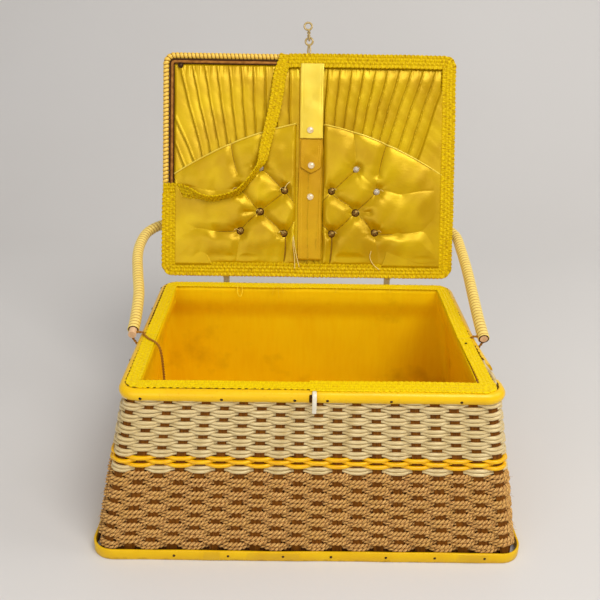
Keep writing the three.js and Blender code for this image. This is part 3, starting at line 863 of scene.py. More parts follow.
def make_cane():
    """A half-round cane from one broken end round to the other."""
    spots = np.linspace(rim_spot(BROKEN[1]), rim_spot(BROKEN[0]) + girth(RIM_SIZE, CANE_RADIUS), 460)
    path, outward = loop_path(RIM_SIZE, spots, CANE_RADIUS, (RIM_TOP + RIM_BOTTOM) / 2)
    path = spread_corner(path)
    angle = np.linspace(-0.5, 0.5, 15) * math.pi
    swell = CANE_RADIUS + 0.12 * wave(spots, 41, 28.0, 4)[:, None]
    out = np.concatenate([swell * np.cos(angle), np.full((len(spots), 2), -0.15)], 1)
    rise = np.concatenate([swell * np.sin(angle), swell * (0.98, -0.98)], 1)
    rings = carried(path, outward, np.stack([out, rise], -1))
    # Both broken ends are ragged.
    tatter = 1.6 * np.sin(np.linspace(0, 17, 17)) + 1.2 * np.cos(np.linspace(0, 41, 17))
    ahead = unit(np.gradient(path, axis=0))
    for k, way in ((0, -1), (1, -0.6), (-1, 1), (-2, 0.6)):
        rings[k] += way * tatter[:, None] * ahead[k]
    shape = Shape()
    shape.tube(rings)
    piece(shape, "rim_cane_round", CANE, "basket", "yellow_vinyl", "rim_cane", sharp=50)


def make_bared_weave():
    """Cream strands that the missing cane leaves in view."""
    shape = Shape()
    half_x, half_y, corner = WALL_SIZE
    spot = 2 * (half_x - corner) + math.pi / 2 * (corner - WALL_DATUM) + half_y - corner + sum(BROKEN) / 2
    middle = spot / WALL_GIRTH * STAKES - FIRST_STAKE
    place = np.arange(-1.35, 1.36, 0.1) + middle
    for row in range(4):
        over = weave_bow(place, (row // 2) % 2)
        path = on_wall(place, 2.4 + 0.5 * row - 0.5 * over, 159.4 + 2.7 * row + 0.1 * over)
        sweep(shape, path, circle(2.1, 10), UP)
    piece(shape, "cream_rows_under_cane", CREAM, "basket", "cream_vinyl")


def gimp(spots, width, base, relief, pitch=4.9, scallop=0.8):
    """Sections of braided trim: four rows of small slanting loops, with scalloped edges and a flat back."""
    across = np.linspace(-1, 1, 25)
    row = np.clip((across + 1) / 2 * 4, 0, 4 - 1e-6)
    within, odd = row - np.floor(row), np.floor(row) % 2
    phase = spots[:, None] / pitch + 0.5 * odd + (0.5 - odd) * (within - 0.5)
    loops = np.abs(np.sin(math.pi * phase)) ** 0.7
    lanes = np.sin(math.pi * within) ** 0.6
    top = base + relief * lanes * (0.25 + 0.75 * loops) * (1 - 0.25 * np.abs(across) ** 3)
    beads = 0.4 + np.abs(np.sin(math.pi * spots[:, None] / 2.45))
    top = top + 0.55 * relief * beads * np.exp(-(((np.abs(across) - 0.93) / 0.08) ** 2))
    edge = width / 2 + scallop * (np.abs(np.sin(math.pi * spots / pitch)) - 0.6)
    side = across * edge[:, None]
    back = np.stack([edge, -edge], -1)
    section_side = np.concatenate([side, back], 1)
    section_up = np.concatenate([top, 0 * back], 1)
    return np.stack([section_side, section_up], -1)[:, ::-1]


def make_rim_braid():
    """The braid on top of the rim, wider where the front right corner has opened."""
    inset, width = 12.5, 12.4
    whole = girth(RIM_SIZE, inset)
    spots = np.linspace(0, whole, 2352, endpoint=False)
    path, _ = loop_path(RIM_SIZE, spots, inset, 169.1)
    section = gimp(spots, width, 0.7, 0.45, pitch=whole / 216)
    section[..., 0] += 0.35 * wave(spots, 51, 33.0, 3)[:, None]
    corner = np.clip((-path[:, 1] - 100) / 14, 0, 1) * (path[:, 0] > 0)
    section[..., 0] *= 1 + 0.4 * corner[:, None]
    path = spread_corner(path, 0.35)
    # The lashing cords press the braid down where they cross it.
    pressed = np.exp(-(((path[:, 1] + 15) / 2.2) ** 2)) * (np.abs(path[:, 0]) > 140)
    section[..., 1] *= (1 - 0.5 * pressed)[:, None]
    shape = Shape()
    sweep(shape, path, section, UP, closed=True)
    piece(shape, "rim_braid_gimp", BRAID, "basket", "yellow_braid", "rim_braid")
    dress("rim_rail", WOOD)


def make_rim_stitches():
    """Painted shade in the stitch holes between the cane and the braid: dark dashes, wider where the braid
    has lifted at the back left.
    """
    shape = Shape()
    whole = girth(RIM_SIZE, 6)
    for spot in np.arange(3, whole, 6.5):
        path, outward = loop_path(RIM_SIZE, np.array([spot - 0.5, spot + 0.5]), 6.15, 169.75)
        x, y, _ = path[0]
        path = spread_corner(path)
        if x > 130 and (BROKEN[0] - 6 < y < BROKEN[1] + 6 or rng.random() < 0.6):
            continue
        lifted = x < -150 and 5 < y < 108
        long, wide = (2.7, 1.15) if lifted else (1.8, 0.55)
        if x > -25 and y < -110:
            wide *= 0.5
        long *= rng.uniform(0.75, 1.2)
        ahead = unit(path[1] - path[0])
        ends = path[0] + np.outer((-long, 0, long), ahead)
        radius = np.array([0.35, 1, 0.35]) * wide
        sweep(shape, ends, circle(radius, 6, 3) * (1, 0.6), UP)
    piece(shape, "rim_stitch_hole_shade", PAINTED_SHADE, "basket", "stake_fibre")


def make_rim_nails():
    """Nails through the cane: at the front where the CAD has them, and round the other sides."""
    shape = Shape()
    nodes = [f"rim_nail_{k}" for k in range(1, 7)]
    for node in nodes:
        low, high = node_box(node)
        place = np.array([(low[0] + high[0]) / 2, -RIM_SIZE[1] + 0.25, (low[2] + high[2]) / 2])
        dome(shape, spread_corner(place), (0, -1, 0), 1.35, 0.75)
    for y in (111.0, 54.0, -62.0):
        dome(shape, (-RIM_SIZE[0] + 0.3, y, 165), (-1, 0, 0.2), 1.3, 0.7)
    for y in (96.0, 40.0, -52.0):
        dome(shape, (RIM_SIZE[0] - 0.3, y, 164), (1, 0, 0.2), 1.3, 0.7)
    for x in (-120.0, -40.0, 40.0, 120.0):
        dome(shape, (x, RIM_SIZE[1] - 0.3, 163), (0, 1, 0), 1.3, 0.7)
    dome(shape, (151.5, -29.4, 170.6), (0, 0, 1), 1.2, 0.6)
    piece(shape, "rim_nail_heads", NAIL, "basket", "steel", *nodes)


def make_frays():
    """Threads that have pulled out of the rim braid at the back."""
    shape = Shape()
    z = 170.5
    loop = [(-77, 106.5, z), (-78, 102, 169), (-77, 98.5, 164)]
    loop += [(-74.5, 99, 161), (-72.5, 102, 165), (-73, 106, z)]
    rod(shape, loop, 0.5, (1, 0.2, 0))
    for x, reach, drift in ((-36, 9, -3), (-33, 12, 2), (-30, 7, 4), (34, 6, -2), (92, 5, 2)):
        start = np.array([x, 107, z])
        bend, end = (0.4 * drift, -reach * 0.5, -1), (drift, -reach * 0.6, -reach * 0.9)
        rod(shape, [start, start + bend, start + end], 0.28, (1, 0.1, 0), 5)
    piece(shape, "frayed_threads", THREAD, "basket", "yellow_braid")


# ---------------------------------------------------------------- lining


LINING_TOP = 168.4


def over_rail(z):
    """How far the cloth comes inwards near the top, over the rail and under the braid."""
    return 7.7 * ease((z - 126) / 30)


def lining_panel(name, first, last, seed):
    """A wall panel of lining that hangs from under the braid, in soft vertical folds."""
    node = f"lining_{name}"
    place = np.arange(first, last, 0.22)
    z = np.linspace(WALL_BOTTOM + 1.5, LINING_TOP, 34)
    u, v = np.meshgrid(place, z, indexing="ij")
    share = (v - WALL_BOTTOM) / (LINING_TOP - WALL_BOTTOM)
    hang = np.sin(math.pi * np.clip(share, 0, 1)) ** 0.7
    folds = 0.6 * wave(u + 0.01 * v, seed, 2.6, 4) + 0.3 * wave(u - 0.03 * v, seed + 7, 0.9, 3)
    proud = 8.6 + hang * (0.9 + folds) + over_rail(v)
    inner, outer = on_wall(u, proud, v, 0), on_wall(u, proud - 0.8, v, 0)
    shape = Shape()
    shape.slab(inner[:, ::-1], outer[:, ::-1])
    made = piece(shape, f"{node}_cloth", LINING, "basket", "lining", node)


def make_lining():
    """Front and back panels turn the corners and meet the side panels at the seams."""
    half_x, half_y, corner = WALL_SIZE
    arc = math.pi / 2 * (corner - WALL_DATUM)
    front, side = 2 * (half_x - corner), 2 * (half_y - corner)
    turn = half_y - corner - 96.4  # the seams stand 96.4 either side of the middle
    stops = [-arc - turn, front + arc + turn, front + arc + side - turn, 2 * front + 3 * arc + side + turn]
    stops.append(stops[3] + side - 2 * turn)
    stops = np.array(stops) / STAKE_PITCH - FIRST_STAKE
    gap = 0.04
    long, short = (0.37, 0.164), (0.2, 0.164)
    for k, (name, flat) in enumerate((("front", long), ("right", short), ("back", long), ("left", short))):
        lining_panel(name, stops[k] + gap, stops[k + 1] - gap, 61 + k)
    make_lining_floor()
    make_lining_seams(stops[:4])
    dress("wall_board", BOARD)


def make_lining_floor():
    """The floor's cloth, which swells a little and is tucked in at its edges."""
    low, high = node_box("lining_floor")
    x, y = np.meshgrid(np.linspace(low[0], high[0], 90), np.linspace(low[1], high[1], 64), indexing="ij")
    swell = 0.5 * wave(x, 71, 34.0, 3) * wave(y, 72, 27.0, 3)
    edge = np.minimum(high[0] - np.abs(x), high[1] - np.abs(y))
    top = high[2] + 0.5 + swell * np.clip(edge / 20, 0, 1) - 0.6 * np.exp(-edge / 3)
    shape = Shape()
    shape.slab(np.stack([x, y, top], -1), np.stack([x, y, np.full_like(x, low[2])], -1))
    made = piece(shape, "lining_floor_cloth", LINING, "basket", "lining", "lining_floor", sharp=60)


def make_lining_seams(stops):
    """A narrow turned edge where two panels meet."""
    shape = Shape()
    z = np.linspace(WALL_BOTTOM + 2, WALL_TOP - 1, 40)
    for k, place in enumerate(stops):
        proud = 9.3 + 0.2 * wave(z, 84 + k, 18.0) + over_rail(z)
        path = on_wall(place + 0.01 * wave(z, 80 + k, 20.0), proud, z, 0)
        sweep(shape, path, circle(0.7, 7) * (1.3, 0.7), unit(path[20] * (1, 1, 0)))
    piece(shape, "lining_seams", LINING, "basket", "lining")


# ---------------------------------------------------------------- wound rods: handle and lid frame


def wound(shape, path, radius, pitch, up, closed=False, sides=18, dip=0.15):
    """A strip wound round a rod: each turn is domed, and a groove runs between the turns.

    The UV map's second number counts turns, so that the groove lines follow the strip."""
    length = arc_lengths(path, closed)
    turns = length / pitch
    if closed:
        turns = length / length[-1] * round(length[-1] / pitch)
    share = np.mod(turns[: len(path), None] + np.arange(sides) / sides, 1)
    domed = radius * (1 - dip + dip * np.sin(math.pi * share) ** 0.6)
    sweep(shape, path, domed[..., None] * circle(1, sides), up, closed, along=length, twist=turns)


# The handle's bow in its own plane, from the left eye to the right one.
BOW = [
    (-171.4, 0, 0),
    (-172, 22, 0),
    (-175.5, 60, 0),
    (-182.5, 96, 0),
    (-188.5, 130, 0),
    (-189, 156, 0),
    (-184, 178, 0),
    (-168, 194, 0),
    (-140, 201, 0),
    (-80, 204, 0),
    (0, 205, 0),
    (80, 204, 0),
    (135, 201, 0),
    (160, 194.6, 0),
    (172.4, 178, 0),
    (174.3, 150, 0),
    (174.5, 110, 0),
    (173, 66, 0),
    (171.6, 24, 0),
    (171.4, 0, 0),
]


def make_handle():
    """A wooden core whose left end is bare, wound with a vinyl strip, with dark discs of painted shade in the
    winding's hollow ends.
    """
    inner = BOW[1:-1]
    across = on_handle(UP) - on_handle((0, 0, 0))
    shape = Shape()
    path = on_handle(smooth_path([(-171.4, 4, 0), *inner, (171.4, -3, 0)], 0.42))
    wound(shape, path, 5.85, 4.4, across)
    piece(shape, "handle_winding", HANDLE_WRAP, "handle", "wrap_vinyl", "handle_wrap")
    core = Shape()
    path = on_handle(smooth_path([(-171.2, -4, 0), *inner, (171.4, -3.4, 0)], 2.5))
    sweep(core, path, circle(3.9, 14), across)
    piece(core, "handle_rod", WOOD, "handle", "wood", "handle_core", sharp=50)
    # painted shade: dark discs inside the winding's hollow ends
    hollow = Shape()
    for x, v in ((-171.4, 3.8), (171.4, -3.2)):
        for reach in (1, -0.15):
            sweep(hollow, on_handle([(x, v, 0), (x, v + reach, 0)]), circle(5.0, 20), across)
    piece(hollow, "handle_end_shadow", PAINTED_SHADE, "handle", "wood")


def lid_spot(inset, x=0.0, t=None):
    """The distance round the lid's outline to x on its top edge, or to height t on its left edge."""
    half_x, half_y, corner = LID_SIZE
    arc = math.pi / 2 * (corner - inset)
    if t is None:
        return 3 * (half_x - corner) + 2 * (half_y - corner) + 2 * arc - x
    return girth(LID_SIZE, inset) - arc - (t - LID_MIDDLE + half_y - corner)


def make_lid_rod():
    """The rod round the lid's edge, wound like the handle."""
    path = around_lid(np.arange(0, girth(LID_SIZE, 3.5), 0.6), 3.5, 0.0)
    shape = Shape()
    wound(shape, on_lid(path), 3.7, 4.4, LID_OUT, closed=True, sides=16, dip=0.24)
    piece(shape, "lid_rod_winding", LID_WRAP, "lid", "wrap_vinyl", "lid_rod")


def make_board_edge():
    """The board's bare edge where the braid has come away: two slits, drawn as dark rods of painted shade,
    with a reddish strip between.
    """
    for name, inset, radius, rise, material in (
        ("board_edge_outer_slit_shade", 8.2, 1.0, 2.2, PAINTED_SHADE),
        ("board_edge_strip", 10.6, 1.7, 2.0, EDGE_STRIP),
        ("board_edge_inner_slit_shade", 12.6, 0.6, 2.9, PAINTED_SHADE),
    ):
        spots = np.arange(lid_spot(inset, x=-22), lid_spot(inset, t=96), 0.8)
        path = around_lid(spots, inset, rise)
        path[:, 2] += 0.15 * wave(spots, 160, 5.0, 3)
        shape = Shape()
        sweep(shape, on_lid(path), circle(radius, 8) * (1, 0.55), LID_OUT)
        piece(shape, name, material, "lid", "fibreboard")


# ---------------------------------------------------------------- the lid's panels and linings


LID_STAKE_PITCH = 16.4


def make_lid_back():
    """Cream strands woven over stakes, on the outside of the lid."""
    half, low, high = 157.2, 4.2, 239.8
    shape = Shape()
    x = np.arange(-half, half, 1.9)
    for k, t in enumerate(np.arange(low + 1.6, high - 1, CREAM_PITCH / 2)):
        over = weave_bow(x / LID_STAKE_PITCH, (k // 2) % 2)
        path = np.stack([x, t + 0.15 * wave(x, 700 + k, 40.0, 3), -3.4 - 1.3 * over], -1)
        sweep(shape, on_lid(path), circle(1.36, 7), lid_direction(0, 1, 0))
    piece(shape, "lid_weave_rows", CREAM, "lid", "cream_vinyl", "lid_weave")
    stakes = Shape()
    across = np.array([-3.8, -2.6, 2.6, 3.8, 3.8, 2.6, -2.6, -3.8])
    deep = np.array([-3.7, -4.0, -4.0, -3.7, -2.9, -2.7, -2.7, -2.9])
    t = np.linspace(low, high, 12)[:, None]
    for k in range(-9, 10):
        stakes.tube(on_lid(np.stack(np.broadcast_arrays(LID_STAKE_PITCH * k + across, t, deep), -1)))
    piece(stakes, "lid_stakes", STAKE, "lid", "stake_fibre", sharp=40)
    dress("lid_board", BOARD)


SATIN_TOP, SATIN_FOOT, SATIN_HALF = 234.5, 9.5, 152.0
# Ridges of the sunburst: (distance from the middle at the top of the lid, inward lean).
RIDGES_RIGHT = [(8 + 13.6 * k, min(0.0028 * (8 + 13.6 * k), 0.33)) for k in range(1, 12)]
RIDGES_LEFT = [(8 + 13.8 * k, max(0.0026 * (13.8 * k - 40), 0.0)) for k in range(1, 11)]
RIDGES_LEFT += [(178, 0.45), (189, 0.43), (204, 0.42)]


def pleat_height(x, t):
    """Knife pleats that fan out from the strap: a sharp crest, a long slope to its right and a deep fold."""
    height = np.zeros_like(x)
    for side, ridges in ((1, RIDGES_RIGHT), (-1, RIDGES_LEFT)):
        for row in range(x.shape[1]):
            down = SATIN_TOP - t[0, row]
            places = [0.0] + [start - lean * down for start, lean in ridges]
            phase = np.interp(side * x[:, row], places, np.arange(len(places)))
            share = np.mod(side * phase, 1)
            crest = 1.0 * (np.exp(-((share / 0.07) ** 2)) + np.exp(-(((1 - share) / 0.04) ** 2)))
            slope = 0.85 * (1 - share) ** 0.8 + 0.25 * np.sin(math.pi * share)
            here = side * x[:, row] > 0
            height[here, row] = (crest + slope)[here]
    return height


def make_lid_satin():
    """The pleated satin behind the pockets."""
    across, up = np.linspace(-SATIN_HALF, SATIN_HALF, 640), np.linspace(SATIN_FOOT, SATIN_TOP, 90)
    x, t = np.meshgrid(across, up, indexing="ij")
    pleats = pleat_height(x + 0.6 * wave(t, 90, 24.0, 3), t)
    # The pleats are stitched down at the top, in small gathers, and open out below.
    down = SATIN_TOP - t
    depth = 2.5 * np.clip(down / 14, 0.3, 1)
    gathers = 0.45 * np.exp(-down / 6) * wave(x, 92, 1.6, 3)
    top = 1.9 + depth * pleats + gathers + 0.1 * wave(x + t, 91, 6.0, 3)
    edge = np.minimum(SATIN_HALF - np.abs(x), down)
    top = 1.7 + (top - 1.7) * np.clip(edge / 2.5, 0.05, 1)
    bottom = np.full_like(top, 1.45)
    shape = Shape()
    shape.slab(on_lid(np.stack([x, t, top], -1)), on_lid(np.stack([x, t, bottom], -1)))
    made = piece(shape, "lid_satin_pleats", SATIN, "lid", "satin", "lid_satin")


TUFTS = [(54, 119), (26.5, 94.5), (77.5, 94), (54, 70), (27, 46), (76, 48)]
# Creases between tufts, down to the foot and out to the side: (start, end, depth, width of its slope).
# painted shade: creases this deep get a dark line laid in them
DEEP_CREASE = 0.7  # from this depth on, a crease shows a dark line
CREASES = [
    ((54, 119), (26.5, 94.5), 0.8, 7.0),
    ((26.5, 94.5), (54, 70), 0.85, 6.5),
    ((54, 70), (77.5, 94), 0.85, 7.0),
    ((54, 119), (77.5, 94), 0.2, 9.0),
    ((54, 70), (27, 46), 0.85, 6.0),
    ((54, 70), (76, 48), 0.85, 6.5),
    ((54, 70), (70, 69), 0.6, 5.0),
    ((27, 46), (27.5, 12), 1.0, 5.0),
    ((76, 48), (81, 12), 0.5, 8.0),
    ((77.5, 94), (104, 93), 0.35, 8.0),
    ((104, 93), (152, 97), 0.3, 10.0),
    ((76, 48), (104, 47), 0.75, 7.0),
    ((104, 47), (152, 51), 0.55, 7.0),
    ((26.5, 94.5), (15, 80), 0.7, 5.0),
    ((27, 46), (15, 60), 0.7, 5.0),
    ((54, 119), (50, 158), 0.4, 8.0),
    ((88, 152), (80, 112), 0.7, 6.0),
]


def crease_distance(x, t, start, end):
    """How far points of the lid are from a crease."""
    start, end = np.array(start, float), np.array(end, float)
    along = end - start
    share = np.clip(((x - start[0]) * along[0] + (t - start[1]) * along[1]) / (along @ along), 0, 1)
    return np.hypot(x - start[0] - share * along[0], t - start[1] - share * along[1])


def pocket_top(side, x):
    """The arched free edge of a pocket."""
    if side > 0:
        reach = x - 17
        return 168 - 0.187 * reach - 0.00164 * reach**2
    reach = x - 13.5
    return 168.5 - 0.201 * reach - 0.00157 * reach**2


def drape(x, t, seed, size, count=5):
    """Soft uneven relief of about one: ripples that run in seeded directions."""
    source = np.random.default_rng(seed)
    total = np.zeros_like(x)
    for _ in range(count):
        angle, phase = source.uniform(0, math.pi), source.uniform(0, 2 * math.pi)
        length = size * source.uniform(0.8, 1.9)
        total += np.sin((x * math.cos(angle) + t * math.sin(angle)) * 2 * math.pi / length + phase)
    return total / math.sqrt(count)


POCKET_FOOT, POCKET_STEPS, POCKET_SPREAD = 11.5, 190, 1.1  # the spread crowds columns towards the strap


def crease_bend(side, x, t):
    """How far the creases wander from straight lines."""
    return 1.2 * drape(x, t, 5 + side, 46.0), 1.2 * drape(x, t, 8 + side, 40.0)


def pocket_fullness(side, x, t):
    """The share of its padding that shows: little in the creases and next to nothing at the tufts."""
    fullness = np.ones_like(x)
    bend = crease_bend(side, x, t)
    for start, end, depth, width in CREASES:
        distance = crease_distance(x + bend[0], t + bend[1], start, end)
        near, slope = np.exp(-np.minimum(distance, 40) / 1.5), np.exp(-((distance / width) ** 2))
        fullness = fullness * (1 - depth * (0.38 * near + 0.52 * slope))
    for k, (cx, ct) in enumerate(TUFTS):
        distance = np.hypot(x - cx, t - ct)
        angle = np.arctan2(t - ct, x - cx)
        fullness = fullness * (1 - 0.97 * np.exp(-((distance / 5.0) ** 2)))
        puckers = np.cos(7 * angle + 1.7 * k + 0.5 * side) + 0.5 * np.cos(12 * angle + k)
        fullness = fullness + 0.09 * puckers * np.exp(-distance / 7) * (1 - np.exp(-distance / 4))
    return fullness


def make_pocket(name, side, inner, outer):
    """A padded satin pocket front, drawn down at its tufts and creased between them."""
    foot, steps = POCKET_FOOT, POCKET_STEPS
    column = inner + (outer - inner) * np.linspace(0, 1, steps) ** POCKET_SPREAD
    x = np.broadcast_to(column[:, None], (steps, steps))
    edge_top = pocket_top(side, column)[:, None]
    t = foot + (edge_top - foot) * np.linspace(0, 1, steps)[None, :]
    fullness = pocket_fullness(side, x, t)
    plump = 6.8 - 2.6 * np.clip((x - 84) / 50, 0, 1) - 1.0 * np.clip((t - 118) / 45, 0, 1)
    plump = plump * (0.42 + 0.58 * ease(np.minimum(t - 16, 150 - x) / 26))
    if side < 0:
        # The loose braid's end lies across the outer edge here.
        plump = plump * (1 - 0.9 * np.exp(-(((x - 150) / 12) ** 2) - ((t - 92) / 9) ** 2))
    soft = 0.85 * drape(x, t, 101 + side, 44.0) + 0.22 * drape(x, t, 111 + side, 15.0)
    edges = [(x - inner) / 5.0, (outer - x) / 7.0, (t - foot) / 7.0, 0.45 + (edge_top - t) / 14.0]
    rim = np.clip(np.minimum.reduce(edges), 0, 1)
    rolled = np.sqrt(np.clip(1 - (1 - rim) ** 2, 0, 1))
    top = 4.3 + (plump * fullness + soft * np.clip(fullness, 0.2, 1)) * rolled
    # With the lid closed, the pocket's foot and outer side lie on the rim's braid.
    room = 7.0 + 6.5 * ease(np.minimum(t - 18, 147 - x) / 17)
    top = np.minimum(top, room) - 0.25 * np.exp(-np.abs(top - room))
    bottom = np.minimum(top - 0.5, 3.9)
    shape = Shape()
    order = slice(None) if side > 0 else slice(None, None, -1)
    surface = [np.stack([side * x, t, n], -1)[order] for n in (top, bottom)]
    shape.slab(on_lid(surface[0]), on_lid(surface[1]))
    made = piece(shape, f"{name}_satin", SATIN, "lid", "satin", name)
    # painted highlight: a thin bright hem along the pocket's top edge
    hem = Shape()
    path = np.stack([side * column, edge_top[:, 0], top[:, -1] + 0.35], -1)
    sweep(hem, on_lid(path[order]), circle(0.85, 8), LID_OUT)
    piece(hem, f"{name}_hem", HIGHLIGHT_SATIN, "lid", "satin")
    make_crease_shade(name, side, inner, outer, top)


def make_crease_shade(name, side, inner, outer, top):
    """Painted shade: dark lines in a pocket's deep creases, laid on its surface top[column, row]."""
    folds = Shape()
    last = POCKET_STEPS - 1
    for start, end, depth, _ in CREASES:
        if depth < DEEP_CREASE:
            continue
        share = np.linspace(0.04, 0.96, 24)[:, None]
        x, t = (np.array(start, float) + share * (np.array(end, float) - start)).T
        bend = crease_bend(side, x, t)
        x, t = x - bend[0], t - bend[1]
        i = np.clip((x - inner) / (outer - inner), 0, 1) ** (1 / POCKET_SPREAD) * last
        j = np.clip((t - POCKET_FOOT) / (pocket_top(side, x) - POCKET_FOOT), 0, 1) * last
        height = top[i.round().astype(int), j.round().astype(int)]
        thick = (0.42 if depth < 1 else 1.2) * np.sin(math.pi * share[:, 0]) ** 0.4
        path = on_lid(np.stack([side * x, t, height + 0.02], -1))
        sweep(folds, path, circle(thick, 6, len(path)), LID_OUT)
    piece(folds, f"{name}_folds", FOLD_SHADOW, "lid", "satin")


def flat_ring(x, t, out, radius, count):
    """Points round a circle that lies flat on the lid, in the basket's frame."""
    angle = angles(count)
    ring = [x + radius * np.cos(angle), t + radius * np.sin(angle), np.full(count, out)]
    return on_lid(np.stack(ring, -1))


GEMS = {("left", 0), ("right", 0), ("right", 2)}
# Long loose threads on the pockets, in the lid's frame.
LONG_THREADS = [
    [(-27, 94, 9.5), (-25.5, 98, 10.6), (-22.5, 102, 10.8), (-18, 105, 9.2)],
    [(-16, 44, 9), (-14.5, 32, 9.2), (-12, 20, 7.2), (-9, 8, 7)],
    [(-16.5, 42, 9.6), (-16, 31, 9.6), (-14.5, 20, 7.2), (-14, 6, 7)],
    [(72, 27, 9.5), (71, 20, 7.4), (75, 12, 7.2), (82, 6, 7)],
]


def tuft_button(shape, place, k, gem):
    """A metal button with four prongs bent over it, and perhaps the glass stone that they held."""
    dome(shape, on_lid(place), LID_OUT, 3.5, 1.8, 14)
    for prong in range(4):
        turn = prong * math.pi / 2 + 0.4 + k
        c, s = math.cos(turn), math.sin(turn)
        foot, tip = place + (2.6 * c, 2.6 * s, 0.4), place + (c, s, 2.3)
        middle = (foot + tip) / 2 + (0.5 * c, 0.5 * s, 0.5)
        rod(shape, on_lid([foot, middle, tip]), 0.42, LID_OUT + (0.3, 0, 0), 6, 0.6)
    if gem:
        dome(shape, on_lid(place + (0, 0, 1.3)), LID_OUT, 2.6, 2.2, 8)


def make_tufts():
    """Metal buttons with a twist of thread and a dark ring of painted shade round each. Some have kept a
    glass stone.
    """
    threads, shade_rings = Shape(), Shape()
    for name, side in (("left", -1), ("right", 1)):
        for k, (x, t) in enumerate(TUFTS):
            gem = (name, k) in GEMS
            place = np.array([side * x, t, 5.0])
            shape = Shape()
            tuft_button(shape, place, k, gem)
            material, slot = (GEM, "pearl") if gem else (TUFT, "steel")
            button, node = f"tuft_{name}_button_{k + 1}", f"tuft_{name}_{k + 1}"
            piece(shape, button, material, "lid", slot, node, sharp=35)
            # painted shade: a dark ring round each button, where the satin dips
            sweep(shade_rings, flat_ring(side * x, t, 4.9, 3.9, 20), circle(0.6, 8), LID_OUT, closed=True)
            bend = side * (2.5 + k % 3)
            thread = place + np.array([(0, 0, 1.6), (bend, 2.2, 3.6), (1.6 * bend, 0.4, 4.4)])
            rod(threads, on_lid(thread), 0.22, LID_OUT + (0.2, 0.1, 0), 5, 0.8)
    for strand in LONG_THREADS:
        rod(threads, on_lid(strand), 0.4, lid_direction(0.3, 0.1, 1), 6)
    piece(threads, "tuft_threads", PALE_THREAD, "lid", "yellow_braid")
    piece(shade_rings, "tuft_shade_rings", PAINTED_SHADE, "lid", "fibreboard")


def strap_layer(x0, x1, t0, t1, base, seed, point=0.0):
    """A satin strap with turned edges, a row of stitching sunk along each, and perhaps a pointed end."""
    columns, rows, thick = 40, 90, 1.3
    share = np.linspace(-1, 1, columns)
    across = np.broadcast_to(share[:, None], (columns, rows))
    middle, half = (x0 + x1) / 2, (x1 - x0) / 2
    start = t0 + point * np.clip(np.abs(share), 0, 1)[:, None] ** 1.2
    t = start + (t1 - start) * np.linspace(0, 1, rows)[None, :]
    x = middle + half * across + 0.35 * wave(t, seed, 30.0, 3) * np.abs(across)
    from_side = (1 - np.abs(across)) * half
    stitching = np.exp(-(((from_side - 3.0) / 0.45) ** 2)) + 0.8 * np.exp(-(((from_side - 1.0) / 0.4) ** 2))
    beads = 0.75 + 0.25 * np.sin(t * 2 * math.pi / 2.4)
    top = base + thick + 0.3 * wave(t + 4 * across, seed + 1, 17.0, 3) - 0.35 * stitching * beads
    top = top - 0.5 * np.exp(-from_side / 0.5)
    shape = Shape()
    upper, lower = (on_lid(np.stack([x, t, n], -1)) for n in (top, np.full_like(top, base)))
    shape.slab(upper, lower)
    return shape


def make_strap():
    """The strap fixed to the lid, the shorter one over it, and the tab that snaps on."""
    back = strap_layer(-11, 16, 16, 236, 4.0, 121)
    piece(back, "strap_lower_satin", STRAP_SATIN, "lid", "satin", "strap_back")
    # painted highlight: the upper strap and the rod along its end are in the lighter satin
    front = strap_layer(-10, 16, 153, 236, 5.6, 131)
    rod(front, on_lid([(-10, 153.4, 6.4), (3, 153.2, 6.6), (16, 153.4, 6.4)]), 0.6, LID_OUT)
    piece(front, "strap_upper_satin", HIGHLIGHT_SATIN, "lid", "satin", "strap_front")
    tab = strap_layer(-9, 15, 114, 151.2, 5.5, 141, point=7.0)
    piece(tab, "strap_tab_satin", STRAP_SATIN, "strap_end", "satin", "strap_tab")


def make_snap(name, body, x, t, base):
    """A pearl press-stud cap: a domed disc in a thin rim."""
    shape = Shape()
    dome(shape, on_lid((x, t, base + 0.3)), LID_OUT, 3.7, 1.3, 28)
    sweep(shape, flat_ring(x, t, base + 0.95, 3.2, 28), circle(0.42, 8), LID_OUT, closed=True)
    dome(shape, on_lid((x, t, base + 1.2)), LID_OUT, 1.2, 0.7, 16)
    piece(shape, f"{name}_pearl", PEARL, body, "pearl", name)


def make_tacks():
    """Two tacks that held the braid. The top one has kept its washer."""
    top, side = (-145, 232.5), (-149.5, 105)
    for node, place in (("lid_tack_top", top), ("lid_tack_side", side)):
        shape = Shape()
        dome(shape, on_lid((*place, 3.9)), LID_OUT, 2.1, 1.0, 16)
        piece(shape, f"{node}_head", NAIL, "lid", "steel", node)
    washer = Shape()
    sweep(washer, flat_ring(*top, 3.9, 2.7, 24), circle(0.5, 6), LID_OUT, closed=True)
    piece(washer, "lid_tack_washer", NAIL, "lid", "steel")


# Where the border braid has come away: along the top past x, and up the left side past t.
BRAID_TOP_END, BRAID_SIDE_END = -24.0, 90.0
BRAID_WIDTH, STRIP_WIDTH = 15.4, 14.6
# The loose braid's middle line in the lid's frame, from the top border to the left one.
STRIP = [
    (-26.5, 246, 5),
    (-28.5, 238, 5),
    (-33, 224, 6.6),
    (-36, 203, 8.6),
    (-39.5, 182, 12),
    (-44, 162, 14.6),
    (-48.5, 143, 16),
    (-51.5, 127, 17.5),
    (-59.5, 113, 18),
    (-69, 101, 17.5),
    (-80, 90.5, 15.5),
    (-95, 84.8, 13.6),
    (-110, 82.5, 13),
    (-122, 84.5, 12.9),
    (-132, 88.5, 12.7),
    (-138, 90.8, 10.6),
    (-143, 92.2, 7.2),
    (-147.5, 93, 5.2),
    (-154, 93.5, 5),
    (-163.5, 93.5, 5),
]
# How far the loose braid has turned on its side: shares of its length and degrees.
STRIP_TWIST = (0, 0.38, 0.45, 0.51, 0.6, 0.82, 0.93, 1), (0, 6, 18, 72, 76, 60, 18, 0)


